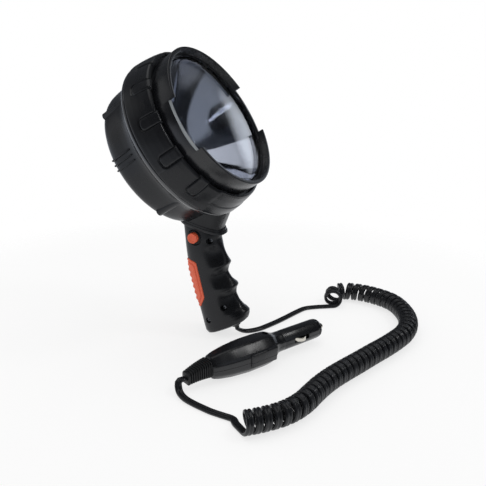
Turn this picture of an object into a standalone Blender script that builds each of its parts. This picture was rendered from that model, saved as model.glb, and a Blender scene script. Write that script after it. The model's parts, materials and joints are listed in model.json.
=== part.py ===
"""Handheld searchlight with a pistol grip, a curly cord and a twelve-volt vehicle plug.

The lamp is held leaning back, with the heel of its handle just touching the ground that the
plug and the cord lie on. The origin is the middle of the grip, +X is the way the lamp points
over the ground, +Y is its left side and +Z is up. All lengths are in metres.
"""
import math

import bmesh
import bpy
import numpy as np
from mathutils import Matrix, Vector

# Fits and drawing counts
FIT_GAP = 0.0003
CUT_OVERRUN = 0.004
HEAD_SEGMENTS = 32
SMALL_SEGMENTS = 16
SCREW_SEGMENTS = 8
SECTION_POINTS = 16

# Pose of the lamp: the grip's middle in lamp coordinates, the lean and the height over the ground
LEAN = math.radians(32.4)
GRIP_HEIGHT_SHARE = 0.5667

# Hood ring, measured backwards from its rim
HOOD_RADIUS = 0.0768
HOOD_WALL = 0.0038
HOOD_LENGTH = 0.0220
LENS_LIP_PLACE = 0.0068
LENS_LIP_LENGTH = 0.0020
LENS_LIP_REACH = 0.0022
NOTCH_DEPTH = 0.0060
NOTCH_HALF_WIDTH = 0.0256

# Lens, gasket and reflector
LENS_FLANGE_THICKNESS = 0.0022
LENS_RIM_WIDTH = 0.0032
LENS_DOME_HEIGHT = 0.0085
LENS_WALL = 0.0022
GASKET_THICKNESS = 0.0015
GASKET_WIDTH = 0.0026
REFLECTOR_RIM_WIDTH = 0.0040
REFLECTOR_DEPTH = 0.0520
REFLECTOR_WALL = 0.0018
REFLECTOR_HOLE_RADIUS = 0.0098
REFLECTOR_NECK_LENGTH = 0.0060
REFLECTOR_NECK_FLANGE = 0.0165
REFLECTOR_BOWL_SHARES = (1.0, 0.80, 0.58, 0.34)

# Bulb
BULB_FLANGE_RADIUS = 0.0122
BULB_FLANGE_THICKNESS = 0.0012
BULB_BODY_RADIUS = 0.0092
BULB_NUB_RADIUS = 0.0055
BULB_NUB_LENGTH = 0.0075
BULB_GLASS_RADIUS = 0.0056
BULB_GLASS_LENGTH = 0.0190
CLIP_WIRE_RADIUS = 0.0008
CLIP_SPREAD = 0.0075
CLIP_REACH = 0.0150

# Front band: steps outwards from the hood ring and backwards from the band's front edge
BAND_OVERLAP = 0.0035
BAND_MOUTH_GAP = 0.0028
BAND_LIP_STEP = 0.0024
BAND_SHOULDER_STEP = 0.0012
BAND_MIDDLE_STEP = 0.0030
BAND_LAND_STEP = 0.0015
BAND_SHOULDER_LENGTH = 0.0020
BAND_MIDDLE_LENGTH = 0.0135
BAND_LAND_LENGTH = 0.0120
BAND_LAND_WIDTH = 0.0020
BAND_FRONT = HOOD_LENGTH - BAND_OVERLAP
BAND_SHOULDER = BAND_FRONT + BAND_SHOULDER_LENGTH
BAND_MIDDLE = BAND_SHOULDER + BAND_MIDDLE_LENGTH
BAND_LAND = BAND_MIDDLE + BAND_LAND_LENGTH
BAND_REAR = BAND_LAND + BAND_LAND_WIDTH
BAND_MOUTH_RADIUS = HOOD_RADIUS + BAND_MOUTH_GAP
BAND_FRONT_RADIUS = BAND_MOUTH_RADIUS + BAND_LIP_STEP
BAND_SHOULDER_RADIUS = BAND_FRONT_RADIUS + BAND_SHOULDER_STEP
BAND_MIDDLE_RADIUS = BAND_SHOULDER_RADIUS + BAND_MIDDLE_STEP
BAND_RADIUS = BAND_MIDDLE_RADIUS + BAND_LAND_STEP
BAND_EDGE_ROUND = 0.0005
BAND_WALL = 0.0026
BAND_LIP_WALL = 0.0022
BAND_SHELF_THICKNESS = 0.0022
BAND_TAB_COUNT = 14
BAND_TAB_LENGTH = 0.0185
BAND_TAB_WIDTH = 0.0110
BAND_TAB_HEIGHT = 0.0008
BAND_TAB_FIRST_ANGLE = math.radians(13.2)

# Rear shell: length behind the seam, and outline shares of that length and of the band's radius
SEAM_GAP = 0.0004
SHELL_LENGTH = 0.0546
SHELL_WALL = 0.0028
SHELL_OUTLINE_SHARES = (
    (0.000, 0.992), (0.057, 0.990), (0.097, 0.965), (0.158, 0.926), (0.304, 0.893),
    (0.579, 0.880), (0.725, 0.864), (0.835, 0.787), (0.927, 0.639), (0.982, 0.376), (1.000, 0.000),
)
SPIGOT_LENGTH = 0.0036
SPIGOT_WALL = 0.0020
RIB_COUNT = 3
RIB_SPACING = 0.0062
RIB_WIDTH = 0.0022
RIB_HEIGHT = 0.0020
RIB_START = 0.0140
RIB_LENGTH = 0.0240
RIB_FRONT = BAND_REAR + RIB_START
RIB_REAR = RIB_FRONT + RIB_LENGTH
WIRE_HOLE_RADIUS = 0.0050
WIRE_HOLE_BEHIND = 0.0320
WIRE_HOLE_PLACE = BAND_REAR + WIRE_HOLE_BEHIND

# Screw towers that join the rear shell and the band
TOWER_COUNT = 4
TOWER_INSET = 0.0122
TOWER_RADIUS = 0.0046
TOWER_BEHIND = 0.0015
TOWER_LENGTH = 0.0410
TOWER_RECESS_RADIUS = 0.0036
TOWER_FLOOR_DEPTH = 0.0145
BAND_BOSS_RADIUS = 0.0038
BAND_BOSS_INSET = 0.0010
TOWER_SCREW_BITE = 0.0090
TOWER_CIRCLE = BAND_RADIUS - TOWER_INSET
TOWER_FRONT = BAND_REAR + TOWER_BEHIND
TOWER_REAR = TOWER_FRONT + TOWER_LENGTH
TOWER_RECESS_FLOOR = TOWER_FRONT + TOWER_FLOOR_DEPTH
BAND_BOSS_REAR = BAND_REAR - BAND_BOSS_INSET
TOWER_SCREW_TIP = BAND_BOSS_REAR - TOWER_SCREW_BITE
SCREW_HEAD_RADIUS = 0.0030
SCREW_HEAD_HEIGHT = 0.0022
SCREW_SHANK_RADIUS = 0.0014
SCREW_HOLE_RADIUS = 0.0018

# Handle: its frame starts under the head and is raked back
HANDLE_BEHIND = 0.0440
HANDLE_DROP = 0.0043
HANDLE_TOP_X = -(BAND_REAR + HANDLE_BEHIND)
HANDLE_TOP_Z = -(BAND_RADIUS + HANDLE_DROP)
HANDLE_RAKE = math.radians(14.4)
HANDLE_LENGTH = 0.1080
GRIP_DOWN_SHARE = 0.4673
GRIP_ACROSS_SHARE = 0.1424
GRIP_HEIGHT = HANDLE_LENGTH * GRIP_HEIGHT_SHARE
HANDLE_REAR_REACH = 0.0250
HANDLE_FRONT_REACH = 0.0250
HANDLE_HALF_WIDTH = 0.0155
HANDLE_WALL = 0.0040
HANDLE_SQUARENESS = 2.6
# Place down the handle, rear reach, front reach, half width, finger pinch and slant, as shares
HANDLE_SECTION_SHARES = (
    (-0.330, 0.300, 0.780, 0.860, 0.00, 0.00),
    (-0.185, 0.420, 0.840, 0.920, 0.00, 0.00),
    (-0.055, 0.560, 0.880, 0.960, 0.00, 0.00),
    (0.046, 0.680, 0.904, 0.980, 0.10, 0.00),
    (0.130, 0.768, 0.880, 0.980, 0.34, 0.00),
    (0.222, 0.848, 0.920, 0.995, 0.30, 0.00),
    (0.305, 0.888, 0.972, 1.000, 0.12, 0.00),
    (0.343, 0.904, 0.984, 1.000, 0.04, 0.00),
    (0.380, 0.916, 0.824, 0.995, 0.34, 0.00),
    (0.426, 0.924, 0.748, 0.995, 0.44, 0.00),
    (0.500, 0.940, 0.848, 1.000, 0.34, 0.00),
    (0.555, 0.952, 0.976, 1.005, 0.12, 0.00),
    (0.579, 0.956, 1.016, 1.005, 0.04, 0.00),
    (0.611, 0.964, 0.880, 1.005, 0.34, 0.00),
    (0.657, 0.976, 0.828, 1.005, 0.44, 0.00),
    (0.731, 0.992, 0.896, 1.020, 0.36, 0.00),
    (0.815, 1.012, 1.024, 1.030, 0.22, 0.04),
    (0.880, 1.032, 1.176, 1.045, 0.10, 0.10),
    (0.935, 1.040, 1.120, 1.045, 0.08, 0.16),
    (0.970, 0.940, 1.010, 1.020, 0.06, 0.16),
    (0.982, 0.830, 0.880, 0.880, 0.04, 0.16),
)
CAVITY_TOP_SHARE = -0.34
CAVITY_FLOOR_SHARE = 0.90
CAVITY_STEPS = 10

# Neck collar: slanted sections between the head and the handle
COLLAR_SLANT = 0.63
COLLAR_LIP_PLACE = -0.0120
COLLAR_LIP_ROUND = 0.0012
COLLAR_HEIGHT = 0.0400
COLLAR_FRONT_STEP = 0.0045
COLLAR_SIDE_STEP = 0.0017
COLLAR_REAR_SHARE = 0.50
COLLAR_FRONT_REACH = HANDLE_FRONT_REACH + COLLAR_FRONT_STEP
COLLAR_REAR_REACH = HANDLE_REAR_REACH * COLLAR_REAR_SHARE
COLLAR_HALF_WIDTH = HANDLE_HALF_WIDTH + COLLAR_SIDE_STEP
# Height share, then front, rear and width as shares of the reaches above
COLLAR_SECTION_SHARES = (
    (0.00, 0.955, 0.93, 0.965), (0.03, 1.00, 1.00, 1.00), (0.12, 1.05, 1.00, 1.01),
    (0.45, 1.25, 0.96, 1.04), (1.00, 1.56, 0.80, 1.12),
)

# Grip insert over the back edge of the handle, as places down and across the handle
INSERT_DOWN_SHARES = (0.198, 0.248, 0.622, 0.708)
INSERT_ACROSS_SHARES = (0.256, 0.380, 0.760)
INSERT_TOP, INSERT_CORNER_TOP, INSERT_CORNER_BOTTOM, INSERT_BOTTOM = (
    HANDLE_LENGTH * share for share in INSERT_DOWN_SHARES)
INSERT_SIDE_TOP, INSERT_SIDE_BOTTOM, INSERT_EDGE_ACROSS = (
    HANDLE_REAR_REACH * share for share in INSERT_ACROSS_SHARES)
INSERT_THICKNESS = 0.0020
INSERT_STAND = 0.0006
INSERT_BUMP_COUNT = 7
INSERT_BUMP_HEIGHT = 0.0007

# Push button on the right side, its bezel, spring and switch
BUTTON_PLACE_SHARE = 0.002
BUTTON_PLACE = HANDLE_LENGTH * BUTTON_PLACE_SHARE
BUTTON_ACROSS = 0.0
BUTTON_RADIUS = 0.0055
BUTTON_STAND = 0.0037
BUTTON_FACE = HANDLE_HALF_WIDTH + BUTTON_STAND
BUTTON_TRAVEL = 0.0030
BUTTON_CLEARANCE = 0.0004
BUTTON_FLANGE_STEP = 0.0011
BUTTON_FLANGE_RADIUS = BUTTON_RADIUS + BUTTON_FLANGE_STEP
BUTTON_FLANGE_THICKNESS = 0.0010
BUTTON_STEM_RADIUS = 0.0018
STEM_END_CLEARANCE = 0.0001
BUTTON_EDGE_ROUND = 0.0008
BEZEL_WALL = 0.0015
BEZEL_INSET = 0.0002
BEZEL_THICKNESS = 0.0027
BEZEL_RADIUS = BUTTON_RADIUS + BUTTON_CLEARANCE + BEZEL_WALL
BEZEL_FACE = HANDLE_HALF_WIDTH - BEZEL_INSET
BEZEL_INNER_FACE = BEZEL_FACE - BEZEL_THICKNESS
SPRING_RADIUS = 0.0033
SPRING_WIRE_RADIUS = 0.0003
SPRING_TURNS = 3
SPRING_SPACE = 0.0043
BUTTON_STEM_LENGTH = SPRING_SPACE - STEM_END_CLEARANCE
SWITCH_FACE = BEZEL_INNER_FACE - FIT_GAP - BUTTON_FLANGE_THICKNESS - SPRING_SPACE
SWITCH_BORE_DEPTH = 0.0046
SWITCH_INSET = 0.0027
SWITCH_BACK = HANDLE_HALF_WIDTH - HANDLE_WALL - SWITCH_INSET
SWITCH_HALF_DEPTH = 0.0050
SWITCH_TOP = -0.0070
SWITCH_BOTTOM = 0.0120

# Handle screws: place down the handle, place across it and depth of the head's seat
HANDLE_SCREW_PLACE_SHARES = (0.075, 0.757, 0.860)
HANDLE_SCREW_ACROSS_SHARES = (0.608, 0.348, -0.556)
HANDLE_SCREW_SEAT_SHARES = (0.400, 0.580, 0.632)
HANDLE_SCREW_PLACES = [HANDLE_LENGTH * share for share in HANDLE_SCREW_PLACE_SHARES]
HANDLE_SCREW_ACROSS = [HANDLE_FRONT_REACH * share for share in HANDLE_SCREW_ACROSS_SHARES]
HANDLE_SCREW_SEATS = [HANDLE_HALF_WIDTH * share for share in HANDLE_SCREW_SEAT_SHARES]
HANDLE_BOSS_RADIUS = 0.0044
HANDLE_SCREW_TIP = 0.0070

# Cord grommet in the underside of the handle
GROMMET_ACROSS_SHARE = 0.400
GROMMET_ACROSS = HANDLE_FRONT_REACH * GROMMET_ACROSS_SHARE
GROMMET_HALF_WIDTH = 0.0052
GROMMET_HALF_DEPTH = 0.0034
GROMMET_STAND = 0.0030
GROMMET_INSIDE = 0.0050
GROMMET_LIP = 0.0012

# Plug: outline shares of its length and its half width and height
PLUG_X = 0.0480
PLUG_Y = -0.1030
PLUG_TURN = math.radians(62.0)
PLUG_HEIGHT = 0.0153
PLUG_LENGTH = 0.1370
PLUG_HALF_WIDTH = 0.0174
PLUG_HALF_HEIGHT = 0.0150
PLUG_SEAM = -0.0015
PLUG_WALL = 0.0024
BARREL_RADIUS = 0.01045
BARREL_START_SHARE = 0.628
BARREL_BORE_RADIUS = 0.0070
BARREL_WEB_PLACE_SHARE = 0.6715
BARREL_WEB_PLACE = PLUG_LENGTH * BARREL_WEB_PLACE_SHARE
BARREL_WEB_THICKNESS = 0.0027
# Length share, half width share, half height share and squareness of the body behind the barrel
PLUG_SECTION_SHARES = (
    (0.000, 0.500, 0.600, 3.0), (0.012, 0.610, 0.730, 3.2), (0.055, 0.710, 0.820, 3.4),
    (0.150, 0.860, 0.930, 3.4), (0.290, 0.990, 1.000, 3.4), (0.440, 0.985, 0.995, 3.2),
    (0.520, 0.900, 0.945, 3.0), (0.560, 0.750, 0.830, 2.6), (0.600, 0.625, 0.720, 2.2),
)
PAD_PLACE_SHARES = (0.270, 0.520)
PAD_START, PAD_END = (PLUG_LENGTH * share for share in PAD_PLACE_SHARES)
PAD_HALF_HEIGHT = 0.0072
PAD_STAND = 0.0018
PAD_REACH = PLUG_HALF_WIDTH + PAD_STAND
PLUG_SCREW_PLACE_SHARE = 0.511
PLUG_SCREW_PLACE = PLUG_LENGTH * PLUG_SCREW_PLACE_SHARE
PLUG_SCREW_SEAT = 0.0090
PLUG_SCREW_TIP = -0.0085
PLUG_SCREW_COLUMN = 0.0044
PLUG_CAVITY_START = 0.0060
PLUG_CAVITY_END_SHARE = 0.6423
PLUG_CAVITY_END = PLUG_LENGTH * PLUG_CAVITY_END_SHARE

# Plug contacts, pin, spring and fuse
TIP_RING_LENGTH = 0.0042
TIP_RING_INSET = 0.00045
TIP_RING_RADIUS = BARREL_RADIUS - TIP_RING_INSET
PIN_RADIUS = 0.0033
PIN_REACH = 0.0080
PIN_NOSE_SHARE = 0.5
PIN_FLANGE_CLEARANCE = 0.0006
PIN_FLANGE_RADIUS = BARREL_BORE_RADIUS - PIN_FLANGE_CLEARANCE
PIN_FLANGE_THICKNESS = 0.0022
PIN_TRAVEL = 0.0030
FUSE_RADIUS = 0.0031
FUSE_LENGTH = 0.0200
FUSE_CAP_LENGTH = 0.0050
PIN_SPRING_RADIUS = 0.0030
PIN_SPRING_WIRE = 0.0004
PIN_SPRING_TURNS = 4
LEAF_PLACE_SHARES = (0.745, 0.880)
LEAF_START, LEAF_END = (PLUG_LENGTH * share for share in LEAF_PLACE_SHARES)
LEAF_FOOT = 0.0060
LEAF_STAND = 0.00215
LEAF_BORE_CLEARANCE = 0.0008
LEAF_REACH = BARREL_RADIUS + LEAF_STAND
LEAF_ROOT = BARREL_BORE_RADIUS - LEAF_BORE_CLEARANCE
LEAF_THICKNESS = 0.0006
LEAF_HALF_WIDTH = 0.0022
LEAF_STEPS = 6
SLOT_CLEARANCE = 0.0004

# Ribbed boot behind the plug
BOOT_LENGTH = 0.0250
BOOT_RIBS = 11
BOOT_HALF_WIDTH = 0.0084
BOOT_HALF_HEIGHT = 0.0084
BOOT_END_SHARE = 0.68
BOOT_GROOVE = 0.0012
BOOT_DROOP = 0.0034
BOOT_SPIGOT_LENGTH = 0.0050
BOOT_SPIGOT_HALF = 0.0044
BOOT_POINTS = 8

# Flat two-core cord
CORD_WIDTH = 0.0070
CORD_THICKNESS = 0.0037
COIL_RADIUS = 0.0107
COIL_PITCH = 0.0083
COIL_END_PITCH = 0.0078
COIL_POINTS = 8
COIL_EVEN_SHARE = 0.10
COIL_EASE_SHARE = 0.15


def place_on_ground(points):
    """Lifts route points given as x, y and height over the ground into part coordinates."""
    return [Vector((x, y, height - GRIP_HEIGHT)) for x, y, height in points]


# Routes, chosen by hand from the photograph, as x, y and height over the ground
COIL_AXIS_ROUTE = (
    (0.1065, 0.1150, 0.0107), (0.1035, 0.1225, 0.0107), (0.1020, 0.1305, 0.0107),
    (0.1040, 0.1395, 0.0107), (0.1105, 0.1460, 0.0107), (0.1200, 0.1490, 0.0107),
    (0.1330, 0.1495, 0.0107), (0.1470, 0.1470, 0.0107), (0.1620, 0.1415, 0.0107),
    (0.176, 0.132, 0.0107), (0.189, 0.114, 0.0107), (0.198, 0.094, 0.0107), (0.202, 0.073, 0.0107),
    (0.201, 0.053, 0.0107), (0.196, 0.034, 0.0107), (0.189, 0.014, 0.0107), (0.181, -0.006, 0.0107),
    (0.173, -0.027, 0.0107), (0.165, -0.047, 0.0107), (0.158, -0.066, 0.0107), (0.153, -0.084, 0.0107),
    (0.1500, -0.1000, 0.0107), (0.1475, -0.1150, 0.0107), (0.1430, -0.1290, 0.0107),
    (0.1365, -0.1410, 0.0107), (0.1285, -0.1510, 0.0107), (0.1205, -0.1592, 0.0107),
    (0.1132, -0.1665, 0.0112),
)


def clear_scene():
    """Removes every object that the opened file holds."""
    for item in list(bpy.data.objects):
        bpy.data.objects.remove(item, do_unlink=True)


def finish_material(name, colour, roughness, metallic=0.0, alpha=1.0):
    """Makes a Principled material with one colour and finish."""
    material = bpy.data.materials.new(name)
    material.use_nodes = True
    shader = material.node_tree.nodes["Principled BSDF"]
    shader.inputs["Base Color"].default_value = (*colour, 1.0)
    shader.inputs["Roughness"].default_value = roughness
    shader.inputs["Metallic"].default_value = metallic
    shader.inputs["Alpha"].default_value = alpha
    material.diffuse_color = (*colour, alpha)
    return material


def make_materials():
    """The finishes of the photographed lamp."""
    return {
        "black_abs": finish_material("satin black ABS", (0.028, 0.029, 0.031), 0.42),
        "gloss_abs": finish_material("glossy black ABS", (0.022, 0.023, 0.025), 0.22),
        "orange_rubber": finish_material("orange rubber", (0.78, 0.13, 0.05), 0.55),
        "black_rubber": finish_material("black rubber", (0.018, 0.018, 0.018), 0.62),
        "pvc": finish_material("black PVC", (0.024, 0.025, 0.027), 0.38),
        "clear": finish_material("clear polycarbonate", (0.90, 0.92, 0.94), 0.05, 0.0, 0.3),
        "mirror": finish_material("aluminised reflector", (0.86, 0.87, 0.88), 0.10, 1.0),
        "steel": finish_material("zinc plated steel", (0.62, 0.63, 0.64), 0.30, 1.0),
        "nickel": finish_material("nickel plated brass", (0.78, 0.77, 0.74), 0.20, 1.0),
    }


def add_object(name, mesh, material, parent=None, smooth_angle=math.radians(32)):
    """Links one named object, shaded smooth apart from its sharp edges."""
    mesh.name = name
    mesh.materials.clear()
    mesh.materials.append(material)
    mesh.shade_smooth()
    mesh.set_sharp_from_angle(angle=smooth_angle)
    item = bpy.data.objects.new(name, mesh)
    item.parent = parent
    bpy.context.scene.collection.objects.link(item)
    return item


def add_frame(name, location, turn, parent=None):
    """Adds an empty that carries pieces; turn is an Euler rotation."""
    frame = bpy.data.objects.new(name, None)
    frame.location = location
    frame.rotation_euler = turn
    frame.parent = parent
    bpy.context.scene.collection.objects.link(frame)
    return frame


def add_guide(name, mesh, parent=None):
    """Adds a cutter or a shape for a Boolean, which the build leaves out."""
    guide = bpy.data.objects.new(name, mesh)
    guide.parent = parent
    guide.hide_render = True
    guide.display_type = "WIRE"
    bpy.context.scene.collection.objects.link(guide)
    return guide


def combine(target, guide, operation="DIFFERENCE"):
    """Adds a Boolean modifier with its default exact solver."""
    modifier = target.modifiers.new(guide.name, "BOOLEAN")
    modifier.operation = operation
    modifier.object = guide


def finish_mesh(shape):
    """Merges doubles, turns the faces outwards and returns a mesh."""
    bmesh.ops.remove_doubles(shape, verts=shape.verts, dist=FIT_GAP / 100)
    bmesh.ops.recalc_face_normals(shape, faces=shape.faces)
    mesh = bpy.data.meshes.new("mesh")
    shape.to_mesh(mesh)
    shape.free()
    return mesh


def turned_mesh(outline, segments=HEAD_SEGMENTS, closed=True):
    """Turns an outline of (x, radius) points about the X axis."""
    shape = bmesh.new()
    points = [shape.verts.new((x, 0.0, radius)) for x, radius in outline]
    pairs = list(zip(points, points[1:]))
    if closed:
        pairs.append((points[-1], points[0]))
    edges = [shape.edges.new((a, b)) for a, b in pairs if a.co.z > 0 or b.co.z > 0]
    bmesh.ops.spin(shape, geom=points + edges, cent=(0, 0, 0), axis=(1, 0, 0), dvec=(0, 0, 0),
                   angle=2 * math.pi, steps=segments, use_merge=True, use_duplicate=False)
    bmesh.ops.dissolve_degenerate(shape, dist=FIT_GAP / 100, edges=shape.edges)
    return finish_mesh(shape)


def loft_mesh(rings):
    """Joins closed rings of points, each as long as the next, and closes both ends."""
    shape = bmesh.new()
    loops = [[shape.verts.new(point) for point in ring] for ring in rings]
    for one, other in zip(loops, loops[1:]):
        for k in range(len(one)):
            after = (k + 1) % len(one)
            shape.faces.new((one[k], one[after], other[after], other[k]))
    shape.faces.new(loops[0])
    shape.faces.new(loops[-1])
    return finish_mesh(shape)


def box_mesh(low, high):
    """A box between two corners."""
    low, high = Vector(low), Vector(high)
    shape = bmesh.new()
    bmesh.ops.create_cube(shape, size=1.0)
    bmesh.ops.scale(shape, vec=high - low, verts=shape.verts)
    bmesh.ops.translate(shape, vec=(low + high) / 2, verts=shape.verts)
    return finish_mesh(shape)


def rod_mesh(start, end, radius, segments=SMALL_SEGMENTS):
    """A round rod between two points."""
    start, end = Vector(start), Vector(end)
    turn = (end - start).to_track_quat("Z", "Y").to_matrix().to_4x4()
    shape = bmesh.new()
    bmesh.ops.create_cone(shape, cap_ends=True, segments=segments, radius1=radius, radius2=radius,
                          depth=(end - start).length,
                          matrix=Matrix.Translation((start + end) / 2) @ turn)
    return finish_mesh(shape)


def joined_mesh(meshes):
    """Several closed meshes in one, for use as one guide."""
    shape = bmesh.new()
    for mesh in meshes:
        shape.from_mesh(mesh)
        bpy.data.meshes.remove(mesh)
    mesh = bpy.data.meshes.new("mesh")
    shape.to_mesh(mesh)
    shape.free()
    return mesh


def prism_mesh(outline, half_width):
    """Extrudes an outline of (x, z) points along Y, to both sides."""
    rings = [[Vector((x, side, z)) for x, z in outline] for side in (-half_width, half_width)]
    return loft_mesh(rings)


def shrink_outline(points, distance):
    """Moves an open outline of (x, radius) points inwards, to the right of its direction."""
    moved = []
    for k, (x, radius) in enumerate(points):
        before = Vector(points[max(k - 1, 0)])
        after = Vector(points[min(k + 1, len(points) - 1)])
        along = (after - before).normalized()
        moved.append((x - along.y * distance, max(radius - abs(along.x) * distance, 0.0)))
    moved[-1] = (points[-1][0] + distance, 0.0)
    return moved


def superellipse_ring(centre, ahead, behind, half_width, squareness, count, height_of):
    """A rounded section: ahead and behind are reaches along X, half_width is along Y."""
    ring = []
    for k in range(count):
        angle = 2 * math.pi * (k + 0.5) / count
        c, s = math.cos(angle), math.sin(angle)
        reach = ahead if c > 0 else behind
        x = math.copysign(abs(c) ** (2 / squareness), c) * reach
        y = math.copysign(abs(s) ** (2 / squareness), s) * half_width
        ring.append(Vector((centre + x, y, height_of(x))))
    return ring


def smooth_route(points, spacing):
    """Points at an even spacing on a smooth curve through the route's own points."""
    route = [Vector(p) for p in points]
    route = [2 * route[0] - route[1]] + route + [2 * route[-1] - route[-2]]
    fine = []
    for a, b, c, d in zip(route, route[1:], route[2:], route[3:]):
        for step in range(24):
            t = step / 24
            fine.append(0.5 * (2 * b + (c - a) * t + (2 * a - 5 * b + 4 * c - d) * t ** 2
                               + (3 * b - a - 3 * c + d) * t ** 3))
    fine.append(route[-2])
    lengths = [0.0]
    for one, other in zip(fine, fine[1:]):
        lengths.append(lengths[-1] + (other - one).length)
    count = max(2, round(lengths[-1] / spacing))
    wanted = np.linspace(0.0, lengths[-1], count + 1)
    columns = [np.interp(wanted, lengths, [p[axis] for p in fine]) for axis in range(3)]
    return [Vector(p) for p in zip(*columns)]


# Head

def rim(distance):
    """X of a place that lies this far behind the hood's rim."""
    return -distance


def hood_bore():
    return HOOD_RADIUS - HOOD_WALL


def make_hood_ring(kit, frame):
    bore = hood_bore()
    lip_back = LENS_LIP_PLACE + LENS_LIP_LENGTH
    outline = [
        (0.0, HOOD_RADIUS), (0.0, bore), (rim(LENS_LIP_PLACE), bore),
        (rim(LENS_LIP_PLACE), bore - LENS_LIP_REACH), (rim(lip_back), bore - LENS_LIP_REACH),
        (rim(lip_back), bore), (rim(HOOD_LENGTH), bore), (rim(HOOD_LENGTH), HOOD_RADIUS),
    ]
    hood = add_object("hood_ring", turned_mesh(outline), kit["gloss_abs"], frame)
    reach = HOOD_RADIUS + CUT_OVERRUN
    notch = add_guide("notch_cutter", box_mesh((rim(NOTCH_DEPTH), -reach, -NOTCH_HALF_WIDTH),
                                               (CUT_OVERRUN, reach, NOTCH_HALF_WIDTH)), frame)
    combine(hood, notch)


def lens_dome_radius():
    return hood_bore() - LENS_RIM_WIDTH


def reflector_radius():
    return hood_bore() - REFLECTOR_RIM_WIDTH


def lens_front():
    return LENS_LIP_PLACE + LENS_LIP_LENGTH + FIT_GAP


def gasket_front():
    return lens_front() + LENS_FLANGE_THICKNESS + FIT_GAP


def reflector_front():
    return gasket_front() + GASKET_THICKNESS + FIT_GAP


def make_lens(kit, frame):
    flange = hood_bore() - FIT_GAP
    shares = (1.0, 0.7, 0.36, 0.0)
    outside = [(rim(lens_front()) + LENS_DOME_HEIGHT * (1 - s * s), lens_dome_radius() * s)
               for s in shares]
    inner_radius = lens_dome_radius() - LENS_WALL
    back = rim(lens_front() + LENS_FLANGE_THICKNESS)
    inside = [(back + LENS_DOME_HEIGHT * (1 - s * s), inner_radius * s) for s in shares]
    outline = [(back, flange), (rim(lens_front()), flange)] + outside + inside[::-1]
    add_object("lens", turned_mesh(outline), kit["clear"], frame)


def make_gasket(kit, frame):
    outside = hood_bore() - FIT_GAP
    front, back = rim(gasket_front()), rim(gasket_front() + GASKET_THICKNESS)
    outline = [(front, outside), (front, outside - GASKET_WIDTH), (back, outside - GASKET_WIDTH),
               (back, outside)]
    add_object("lens_gasket", turned_mesh(outline), kit["black_rubber"], frame)


def reflector_apex():
    return reflector_front() + REFLECTOR_DEPTH


def make_reflector(kit, frame):
    front, apex = rim(reflector_front()), rim(reflector_apex())
    hole, neck = REFLECTOR_HOLE_RADIUS, REFLECTOR_HOLE_RADIUS + REFLECTOR_WALL
    span = reflector_radius() ** 2 - hole ** 2

    def bowl_x(radius):
        return apex + (front - apex) * (radius ** 2 - hole ** 2) / span

    inside = [(bowl_x(share * reflector_radius()), share * reflector_radius())
              for share in REFLECTOR_BOWL_SHARES] + [(apex, hole)]
    neck_back = apex - REFLECTOR_NECK_LENGTH
    flange_front = neck_back + REFLECTOR_WALL
    outside = [(x - REFLECTOR_WALL * radius / reflector_radius(), radius + REFLECTOR_WALL / 2)
               for x, radius in inside[1:-1]]
    outside[-1] = (outside[-1][0] - REFLECTOR_WALL / 2, outside[-1][1])
    outline = (inside + [(neck_back, hole), (neck_back, REFLECTOR_NECK_FLANGE),
                         (flange_front, REFLECTOR_NECK_FLANGE), (flange_front, neck),
                         (apex - REFLECTOR_WALL, neck)] + outside[::-1]
               + [(front - REFLECTOR_WALL, reflector_radius() + REFLECTOR_WALL / 2),
                  (front - REFLECTOR_WALL, hood_bore() - FIT_GAP), (front, hood_bore() - FIT_GAP)])
    add_object("reflector", turned_mesh(outline), kit["mirror"], frame)


def bulb_seat():
    """Place of the reflector neck's rear face, which the bulb's flange lies on."""
    return reflector_apex() + REFLECTOR_NECK_LENGTH


def make_bulb(kit, frame):
    body_front = rim(reflector_apex())
    flange_front = rim(bulb_seat() + FIT_GAP)
    flange_back = flange_front - BULB_FLANGE_THICKNESS
    nub_back = flange_back - BULB_NUB_LENGTH
    base = [(body_front, 0.0), (body_front, BULB_BODY_RADIUS), (flange_front, BULB_BODY_RADIUS),
            (flange_front, BULB_FLANGE_RADIUS), (flange_back, BULB_FLANGE_RADIUS),
            (flange_back, BULB_NUB_RADIUS), (nub_back, BULB_NUB_RADIUS), (nub_back, 0.0)]
    add_object("bulb_base", turned_mesh(base, SMALL_SEGMENTS, False), kit["steel"], frame)
    foot = body_front + FIT_GAP
    tip = foot + BULB_GLASS_LENGTH
    radius = BULB_GLASS_RADIUS
    glass = [(foot, 0.0), (foot, radius), (tip - radius, radius)]
    for share in (0.35, 0.7, 0.9):
        glass.append((tip - radius + radius * share, radius * math.sqrt(1 - share * share)))
    glass.append((tip, 0.0))
    add_object("bulb_glass", turned_mesh(glass, SMALL_SEGMENTS, False), kit["clear"], frame)


def clip_place():
    """Place of the clip wire's middle, behind the bulb's flange."""
    return bulb_seat() + FIT_GAP + BULB_FLANGE_THICKNESS + FIT_GAP + CLIP_WIRE_RADIUS


def add_wire(name, points, radius, material, parent, spacing, resolution=1):
    """A tube along a smooth route, as a curve with a bevel and filled caps."""
    curve = bpy.data.curves.new(name, "CURVE")
    curve.dimensions = "3D"
    curve.bevel_depth = radius
    curve.bevel_resolution = resolution
    curve.render_resolution_u = 0
    curve.use_fill_caps = True
    route = smooth_route(points, spacing)
    spline = curve.splines.new("POLY")
    spline.points.add(len(route) - 1)
    for point, place in zip(spline.points, route):
        point.co = (*place, 1.0)
        point.radius = 1.0
    curve.materials.append(material)
    item = bpy.data.objects.new(name, curve)
    item.parent = parent
    bpy.context.scene.collection.objects.link(item)
    return item


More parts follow.
